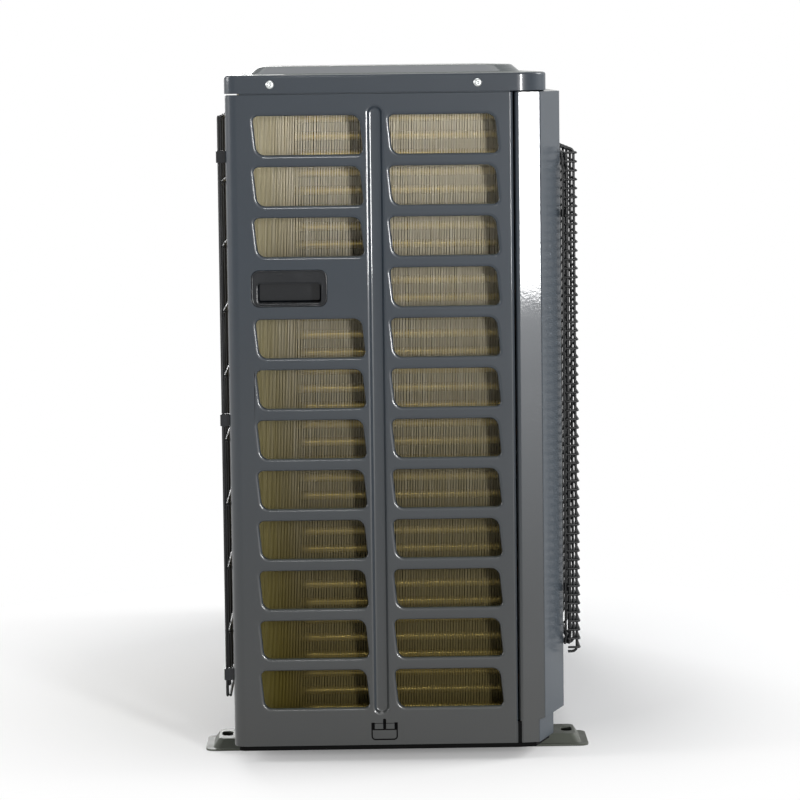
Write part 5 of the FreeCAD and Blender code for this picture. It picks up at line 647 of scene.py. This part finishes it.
def hand_grips():
    """Hand grips: a rounded rim round the flange, a shelf 1.1 mm behind it with two catches, a second rim
    round the mouth, and the cup. Each ring is the flange's or the mouth's outline pushed out a little."""
    low = GRIP_Z - GRIP_TALL / 2
    flange = upright_box(GRIP_Y, GRIP_WIDTH, low, GRIP_TALL), 7.8
    mouth = upright_box(GRIP_Y, MOUTH_WIDTH, low + MOUTH_LOW, MOUTH_TALL), 3.0
    rings = [(flange, -3.3, 25.0), (flange, -3.3, 1.6), (flange, -0.1, 1.6), (flange, -0.1, 0.5),
             (flange, -0.25, 0.12), (flange, -0.5, 0.03), (flange, -1.0, 0.11), (flange, -1.5, 0.23),
             (flange, -1.75, 0.5), (flange, -1.9, 1.1), (mouth, 1.3, 1.1), (mouth, 1.2, 0.5),
             (mouth, 1.05, 0.25), (mouth, 0.6, 0.31), (mouth, 0.2, 0.43), (mouth, 0.05, 0.7),
             (mouth, 0.0, 1.2), (mouth, -0.2, 22.0), (mouth, -1.5, 23.2)]
    catches, catch_z, half_catch = (84.2, 113.1), 493.2, 3.0
    for name, face, inward in (("left_grip", LEFT, 1), ("right_grip", RIGHT, -1)):
        parts = Parts()
        loops = [(rounded(corners, [radius] * 4, out, 7), face + along * inward)
                 for (corners, radius), out, along in rings]
        pressed(parts, loops, False)
        for centre in catches:
            route = [(face + 0.9 * inward, centre + aside, catch_z) for aside in (-half_catch, half_catch)]
            parts.rod(route, 2.0, 8, X_WAY, 1.2)
        piece(name + "_moulding", parts, BLACK_MOULDED, stands_for=(name,), sharp=40,
              outward=True)


def front_parts():
    """Fan front and the service panel beside it: folded corners and soft edges of the raised face."""
    # The corner strip ends here, on the raised face and on the foot; the outlet is cut in the raised face.
    strip_ends, outlet_radius = (-149.2, -143.4), 244

    def corner(middle, run, normals):
        place = near(middle[:, 1], strip_ends[0], 0.4) | near(middle[:, 1], strip_ends[1], 0.4)
        return (np.abs(run[:, 2]) > 0.98) & place

    def face(middle, run, normals):
        outward = (normals[:, :, 1] < -0.9).any(1)
        return outward & near(middle[:, 1], BULGE, 0.1) & (np.abs(normals[:, :, 1]).min(1) > 0.2)

    def rest(middle, run, normals):
        return near(middle[:, 1], FRONT, 0.1) & (np.abs(run[:, 1]) < 0.1)

    def outlet(middle, run, normals):
        away = np.hypot(middle[:, 0] - FAN_X, middle[:, 2] - FAN_Z)
        return near(middle[:, 1], BULGE, 0.1) & near(away, outlet_radius, 1.5)

    rules = [(rest, 0.8), (face, 2.2), (corner, 1.2), (outlet, 0.9)]
    softened("front_panel", PAINT, "fan_front", 0.3, 20, rules, steps=3, free=True)
    softened("service_panel", PAINT, "service_front", 0.3, 20, rules[:3], steps=3, free=True)


def cover():
    """Top cover: drawn edge between skirt and top, soft slopes round the raised middle, a trimmed foot."""
    skirt_top = 692.0

    def shoulder(middle, run, normals):
        facing_up, facing_out = (normals[:, :, 2] > 0.9).any(1), (np.abs(normals[:, :, 2]) < 0.1).any(1)
        return near(middle[:, 2], skirt_top, 0.1) & facing_up & facing_out

    def slope(middle, run, normals):
        return (middle[:, 2] > skirt_top - 0.5) & (normals[:, :, 2].min(1) > 0.2)

    softened("top_cover", PAINT, "cover_shown", 0.4, 24, [(slope, 2.0), (shoulder, 2.6)],
             steps=3, free=True)


def plain_casing():
    """The remaining sheet parts and mouldings of the casing, with folded or moulded edges."""
    softened("right_side_panel", PAINT, narrow=0.35)
    # The base pan's deep black is painted shade, for the shade under the panels.
    softened("base_pan", ENAMEL_AND_SHADE_BLACK, narrow=0.5)
    for side in ("left", "right"):
        softened(side + "_foot_rail", FEET, narrow=1.1, steps=3)
    softened("valve_cover", COVER_MOULDED, narrow=0.8, steps=3)
    softened("guard_clips", BLACK_MOULDED, narrow=0.5)


def screw_heads():
    """Pan-head cross screws: radius r runs over a dome, height = head * (1 - (r / R)^4)^(1/2), less a cross
    whose depth falls off beyond half its arm's width."""
    parts = Parts()
    radius, head, level, washer = 4.4, 2.6, 682, 0.6
    cross_deep, arm_half, arm_slope, cross_long, cross_slope = 1.5, 0.62, 0.22, 2.3, 0.5
    # Place across the unit and turn of the cross, in radians.
    places = ((119.7, 0.3), (-86.6, 0.9))
    share = np.concatenate([np.linspace(0, 0.62, 22), np.linspace(0.66, 1, 8)])
    turn = np.linspace(0, 2 * math.pi, 72, endpoint=False)
    r, a = np.meshgrid(share, turn, indexing="ij")
    across, along = r * radius * np.cos(a), r * radius * np.sin(a)
    dome = head * np.sqrt(np.clip(1 - r ** 4, 0, 1))
    arm = np.minimum(np.abs(across), np.abs(along))
    reach = np.hypot(across, along)
    within_arm = np.clip((arm_half - arm) / arm_slope, 0, 1)
    within_reach = np.clip((cross_long - reach) / cross_slope, 0, 1)
    height = dome - cross_deep * within_arm * within_reach * (1 - reach / 6)
    for face, out in ((LEFT - washer, -1), (RIGHT + washer, 1)):
        for spot, lean in places:
            turned = np.stack([face + out * height, spot + across * math.cos(lean) - along * math.sin(lean),
                               level + across * math.sin(lean) + along * math.cos(lean)], -1)
            parts.grid(turned, wrap_columns=True, flip=out > 0)
            back = np.column_stack([np.full(len(turn), face), spot + radius * np.cos(turn),
                                    level + radius * np.sin(turn)])
            parts.add(back, [list(range(len(turn)))[::1 if out > 0 else -1]])
    piece("cover_screw_heads", parts, ZINC_SCREW, stands_for=("cover_screws",), sharp=40)


# Coil.

def coil_route(depth, straight, round_steps):
    """Points and inward directions at a depth behind the coil's outer face: down the coil end, round the
    corner about its centre, and along the rear. straight is the wanted distance between points."""
    middle = np.array([COIL_LEFT + COIL_BEND, COIL_REAR - COIL_BEND])
    end_length, rear_length = middle[1] - COIL_FRONT, COIL_RIGHT - middle[0]
    first = np.linspace(0, end_length, max(2, int(end_length / straight) + 1))[:-1]
    spots = np.stack([np.full_like(first, COIL_LEFT + depth), COIL_FRONT + first], -1)
    inward = np.tile([1.0, 0.0], (len(first), 1))
    angle = np.linspace(math.pi, math.pi / 2, round_steps)
    outer = np.stack([np.cos(angle), np.sin(angle)], -1)
    spots = np.concatenate([spots, middle + outer * (COIL_BEND - depth)])
    inward = np.concatenate([inward, -outer])
    last = np.linspace(0, rear_length, max(2, int(rear_length / straight) + 1))[1:]
    spots = np.concatenate([spots, np.stack([middle[0] + last, np.full_like(last, COIL_REAR - depth)], -1)])
    return spots, np.concatenate([inward, np.tile([0.0, -1.0], (len(last), 1))])


def fins():
    """Fins 1.6 mm apart: fin = outer point + depth * inward + sideways * (half thickness + wave + bend).
    The bend fades out 13 mm behind the outer edge. The wave, 0.85 mm to one side at 13 mm and to the other at
    18 mm, shuts the straight way through. Real fins are 0.1 mm thick with a rippled edge that catches light
    over about 0.6 mm, so the edge is drawn 0.6 mm thick and the rest 0.24 mm."""
    pitch, most_bend = 1.6, 0.5
    chance = np.random.default_rng(11)
    spots, inward = coil_route(0.0, pitch, int(COIL_BEND * math.pi / 2 / pitch))
    count = len(spots)
    side = np.stack([-inward[:, 1], inward[:, 0]], -1)
    levels = np.linspace(COIL_LOW + 0.2, COIL_LOW + TUBES * TUBE_PITCH - 0.2, 5)
    own = chance.normal(0, 1, (count, len(levels)))
    shared = np.cumsum(chance.normal(0, 0.35, (count, len(levels))), axis=0)
    shared -= np.array([np.convolve(column, np.ones(15) / 15, "same") for column in shared.T]).T
    # The top of the block is handled and knocked more than its foot.
    knocked = np.linspace(0.4, 1.0, len(levels))
    bend = np.clip(own * 0.13 + shared * 0.3, -most_bend, most_bend) * knocked
    # Depth, half thickness, share of the bend, and wave.
    half = [(0.0, 0.3, 1.0, 0.0), (2.5, 0.12, 0.7, 0.0), (13.0, 0.12, 0.0, 0.85), (18.0, 0.12, 0.0, -0.85),
            (COIL_DEPTH, 0.12, 0.0, 0.0)]
    section = half + [(depth, -aside, loose, wave) for depth, aside, loose, wave in half[::-1]]
    ring = []
    for depth, aside, loose, wave in section:
        shift = aside + wave + loose * bend
        flat = spots[:, None] + inward[:, None] * depth + side[:, None] * shift[..., None]
        ring.append(np.concatenate([flat, np.broadcast_to(levels[None, :, None], shift.shape + (1,))], -1))
    points = np.stack(ring, 2)
    parts = Parts()
    around = len(section)
    faces = grid_faces(len(levels), around, wrap_columns=True)
    size = len(levels) * around
    caps = [list(range(around)), [size - step for step in range(1, around + 1)]]
    every = faces[None] + (np.arange(count) * size)[:, None, None]
    parts.add(points, every.reshape(-1, 4)[:, ::-1])
    parts.faces += [[corner + size * index for corner in cap] for index in range(count) for cap in caps]
    piece("coil_fin_stack", parts, FINS, stands_for=("coil_fins",), smooth=False)


def coil_tubes():
    """Tubes through the fins: a circle carried along the coil's middle line, one for each pitch, as wide as
    the collars that the fins have round them."""
    collar = 9.4
    parts = Parts()
    spots, inward = coil_route(COIL_DEPTH / 2, 200.0, 13)
    for index in range(TUBES):
        level = COIL_LOW + TUBE_PITCH * (index + 0.5)
        route = np.concatenate([spots, np.full((len(spots), 1), level)], 1)
        parts.rod(route, collar, 16, Z_WAY)
    piece("coil_tube_runs", parts, TUBES_FINISH, sharp=60)


# Guards.

def front_guard():
    """Cross wires bent back at both ends over two frame rods, with uprights welded behind them and flat feet
    between the rods and the casing."""
    parts = Parts()
    left, right, low, high = -422.0, 102.0, 96.7, 615.7
    front, back, upright_y = -188.1, -176.2, -185.5
    wire, upright, first_wire, wire_pitch, wires = 2.4, 2.8, 102.8, 9.05, 57
    for level in first_wire + wire_pitch * np.arange(wires):
        x0, x1 = left + wire / 2, right - wire / 2
        route = bent([(x0, back, level), (x0, front, level), (x1, front, level), (x1, back, level)], 2.6, 4)
        parts.rod(route, wire, 8, Z_WAY)
    places = [left + 4.12, *(left + (right - left) * np.arange(1, 9) / 9), right - 4.12]
    for x in places:
        z0, z1 = low + upright / 2, high - upright / 2
        route = bent([(x, back, z0), (x, upright_y, z0), (x, upright_y, z1), (x, back, z1)], 5.5, 5)
        parts.rod(route, upright, 10, X_WAY)
    # Two frame rods with cut corners, each with its place and its width.
    for depth, width in ((-174.1, 2.4), (-178.2, 4.0)):
        aside, above = 2.5 + width / math.sqrt(3), 5.7 + width / math.sqrt(3)
        x0, x1, z0, z1, cut = left + aside, right - aside, low + above, high - above, 14.0
        corners = [(FAN_X, z0), (x1 - cut, z0), (x1, z0 + cut), (x1, z1 - cut), (x1 - cut, z1),
                   (x0 + cut, z1), (x0, z1 - cut), (x0, z0 + cut), (x0 + cut, z0), (FAN_X, z0)]
        route = bent([(x, depth, z) for x, z in corners], 7.0, 5)
        parts.rod(route, width, 12, Y_WAY)
    for share in (0.13, 0.87):
        x, z = left + (right - left) * share, low + (high - low) * share
        for spot, wide, tall in (((left + 8.22, z), 2.0, 8.0), ((right - 8.22, z), 2.0, 8.0),
                                 ((x, low + 11.42), 8.0, 2.0), ((x, high - 11.42), 8.0, 2.0)):
            route = [(spot[0], depth, spot[1]) for depth in (-172.3, -173.0, -176.0, -179.4, -180.2)]
            parts.rod(route, wide, 16, Z_WAY, tall)
    piece("front_guard_wires", parts, WIRE, stands_for=("fan_guard",), sharp=50,
          outward=True)


def back_guard():
    """Welded net behind the coil: cross wires next to the casing and uprights over them. Over its last half
    width each wire narrows to 0.45 of its width, as a dipped end."""
    parts = Parts()
    left, right, low, high = -460.0, 146.0, 64.0, 652.0
    wire, uprights_y, cross_y, narrowed = 3.0, 172.2, 169.2, 0.45
    half = wire / 2

    def net_wire(route, across):
        route = np.array(route)
        ring = carried(route, wire, 12, across)
        for row in (0, -1):
            ring[row] = route[row] + (ring[row] - route[row]) * narrowed
        parts.grid(ring, wrap_columns=True, caps=True)

    for x in np.linspace(left + half, right - half, 11):
        levels = (low, low + half, (low + high) / 2, high - half, high)
        net_wire([(x, uprights_y, level) for level in levels], X_WAY)
    for level in np.linspace(low + half, high - half, 10):
        net_wire([(x, cross_y, level) for x in (left, left + half, FAN_X, right - half, right)], Z_WAY)
    piece("back_guard_wires", parts, WIRE, stands_for=("rear_guard",), sharp=50,
          outward=True)


# Fan.

def fan_blades():
    """Three blades. At share s of the span a section has the chord 105 + 215 s^0.8, is turned 44 - 23 s
    degrees from the fan's plane and moved back 60 s^1.5. Its middle line bows by 9% of the chord as 1 - u^2,
    and its thickness is 4 mm times the root of 1 - u^4, more near the hub, where it grows as a fillet. Each
    line along the blade runs from the hub's circle to the tip circle."""
    blades, plane, hub_radius, tip_radius = 3, -108, 68.6, 228.8
    turn = np.linspace(0, 2 * math.pi, 56, endpoint=False)
    u, side = -np.cos(turn), np.sign(np.sin(turn) + 1e-9)

    def blade(share):
        grown = np.clip(share, 0, None)
        chord = 105 + 215 * grown ** 0.8
        lean, shift = np.radians(44 - 23 * grown), -60 * grown ** 1.5
        radius = 68.5 + 171 * share
        fillet = 1 + 1.6 * np.exp(-np.clip(radius - 70, 0, None) / 5.0)
        half = 2.0 * np.sqrt(np.clip(1 - u ** 4, 0, 1)) * fillet
        bow = chord * 0.09 * (1 - u ** 2) + side * half
        along = u * chord / 2
        return np.stack([along * np.cos(lean) - bow * np.sin(lean) + shift,
                         plane + along * np.sin(lean) + bow * np.cos(lean), radius + 0 * u], -1)

    steps = np.linspace(-0.12, 1.0, 400)
    tried = blade(steps[:, None] + 0 * u)
    away = np.hypot(tried[..., 0], tried[..., 2])
    first = steps[np.argmax(away >= hub_radius, axis=0)]
    last = steps[np.argmax(away >= tip_radius, axis=0)]
    rise = np.linspace(0, 1, 26) ** 1.4
    points = blade(first + (last - first) * rise[:, None])
    parts = Parts()
    for index in range(blades):
        angle = 2 * math.pi * index / blades
        x, y, z = points[..., 0], points[..., 1], points[..., 2]
        turned = np.stack([FAN_X + x * math.cos(angle) + z * math.sin(angle), y,
                           FAN_Z - x * math.sin(angle) + z * math.cos(angle)], -1)
        parts.grid(turned, wrap_columns=True, caps=True)
    add_hub(parts)
    piece("axial_fan_moulding", parts, FAN_MOULDED, "fan", ("axial_fan",), sharp=38,
          outward=True)


def add_hub(parts):
    """Cup-shaped hub turned about the shaft: a rim with a 4.5 mm round, a sunk ring with twelve ribs on its
    face, a thin wall and a boss behind it."""
    steps, ribs, rib_rise = 144, 12, 1.3
    round_rim = np.radians(np.linspace(0, 90, 7))
    face = [(-146, 4.3), (-146, 19), (-145.4, 20.2), (-144.2, 21.4), (-144.2, 56), (-144.9, 57.4), (-146, 59)]
    profile = face + list(zip(-141.5 - 4.5 * np.cos(round_rim), 65.5 + 4.5 * np.sin(round_rim)))
    profile += [(-71.0, 70), (-70.3, 69.7), (-70, 69), (-70, 67.8), (-70.6, 67.1), (-140, 67), (-142.2, 66.3),
                (-143, 64), (-143, 20), (-142.4, 17.6), (-140, 17), (-75.4, 17), (-74.6, 16.5), (-74.5, 16),
                (-74.5, 5.3), (-142.6, 5.3), (-143, 4.3)]
    ring = lathe(profile, steps)
    away = np.array([radius for _, radius in profile])
    sunk = (away > 21) & (away < 57) & (np.arange(len(profile)) <= len(face))
    rib = np.isin(np.arange(steps) % (steps // ribs), (0, 1))
    ring[:, :, 1] -= np.where(sunk[:, None] & rib[None], rib_rise, 0)
    parts.grid(ring, wrap_rows=True, wrap_columns=True)


def shroud():
    """Bell mouth turned about the shaft: a quarter ellipse leads in, a straight throat of radius 236 follows
    and an arc of 10 mm flares out, all 1.5 mm thick."""
    throat, wall, flare, lead_long, lead_deep = 236, 1.5, 10, 16, 11
    lip_y, lead_y, flare_y, lip_radius = -170.8, -154.8, -126.8, 251.6
    quarter = np.radians(np.linspace(0, 90, 9))

    def skin(depth):
        lead = zip(lead_y - (lead_long - depth) * np.cos(quarter),
                   throat + lead_deep - (lead_deep - depth) * np.sin(quarter))
        out = zip(flare_y + (flare - depth) * np.sin(quarter),
                  throat + flare - (flare - depth) * np.cos(quarter))
        return [(lip_y + depth, lip_radius), *lead, *out]

    profile = skin(0) + [(-117.4, 246.4)] + skin(wall)[::-1]
    parts = Parts()
    parts.grid(lathe(profile, 144), wrap_rows=True, wrap_columns=True)
    piece("bell_mouth", parts, PAINT, stands_for=("fan_shroud",), sharp=50, outward=True)


end_panel()
slot_lips()
groove()
hook_slot()
hand_grips()
front_parts()
cover()
plain_casing()
screw_heads()
fins()
coil_tubes()
front_guard()
back_guard()
fan_blades()
shroud()

# Parts behind the casing: finish, slot name, and the radius of each node's edges.
INSIDE = [
    (ZINC_SHEET, "zinc_steel", {"motor_bracket": 0.5, "partition": 0.3, "coil_front_plate": 0.3,
                                "coil_inner_plate": 0.3, "valve_bracket": 0.5, "electrical_tray": 0.3,
                                "accumulator_strap": 0.3}),
    (ZINC_SCREW, "zinc_steel", {"compressor_nuts": 0.4, "fan_nut": 0.5, "fan_shaft": 0.4}),
    (ENAMEL_AND_SHADE_BLACK, "zinc_steel", {"compressor_foot_plate": 0.6}),
    (ENAMEL_AND_SHADE_BLACK, "black_enamel", {"compressor_shell": 0.6, "accumulator": 0.5}),
    (RUBBER, "grommet_rubber", {"compressor_grommets": 0.8}),
    (BLACK_MOULDED, "black_plastic", {"terminal_cover": 0.8, "terminal_block": 0.6, "reversing_coil": 0.8,
                                      "expansion_coil": 0.8}),
    (MOTOR_RESIN, "black_plastic", {"fan_motor": 0.8}),
    (BOARD, "board", {"circuit_board": 0.2}),
    (CASES, "component_case", {"capacitors": 1.0, "filter_coil": 1.0}),
    (ALUMINIUM, "bare_aluminium", {"heat_sink": 0.3}),
    (BRASS, "valve_brass", {"four_way_valve": 0.6, "expansion_valve": 0.5, "gas_valve": 0.5,
                            "liquid_valve": 0.5, "gas_valve_cap": 0.7, "liquid_valve_cap": 0.7}),
    (COPPER, "copper", {"coil_hairpins": 0.0, "coil_return_bends": 0.0, "gas_header": 0.3,
                        "liquid_header": 0.3, "discharge_line": 0.0, "suction_line": 0.0,
                        "suction_elbow": 0.0, "gas_line": 0.0, "liquid_line": 0.0, "coil_gas_line": 0.0,
                        "coil_liquid_line": 0.0}),
]
for finish, slot, edges in INSIDE:
    sharpest = 50 if finish is COPPER else 28
    for node, edge in edges.items():
        body = "fan" if node in ("fan_nut", "fan_shaft") else "casing"
        softened(node, finish, narrow=edge, least=sharpest, body=body)
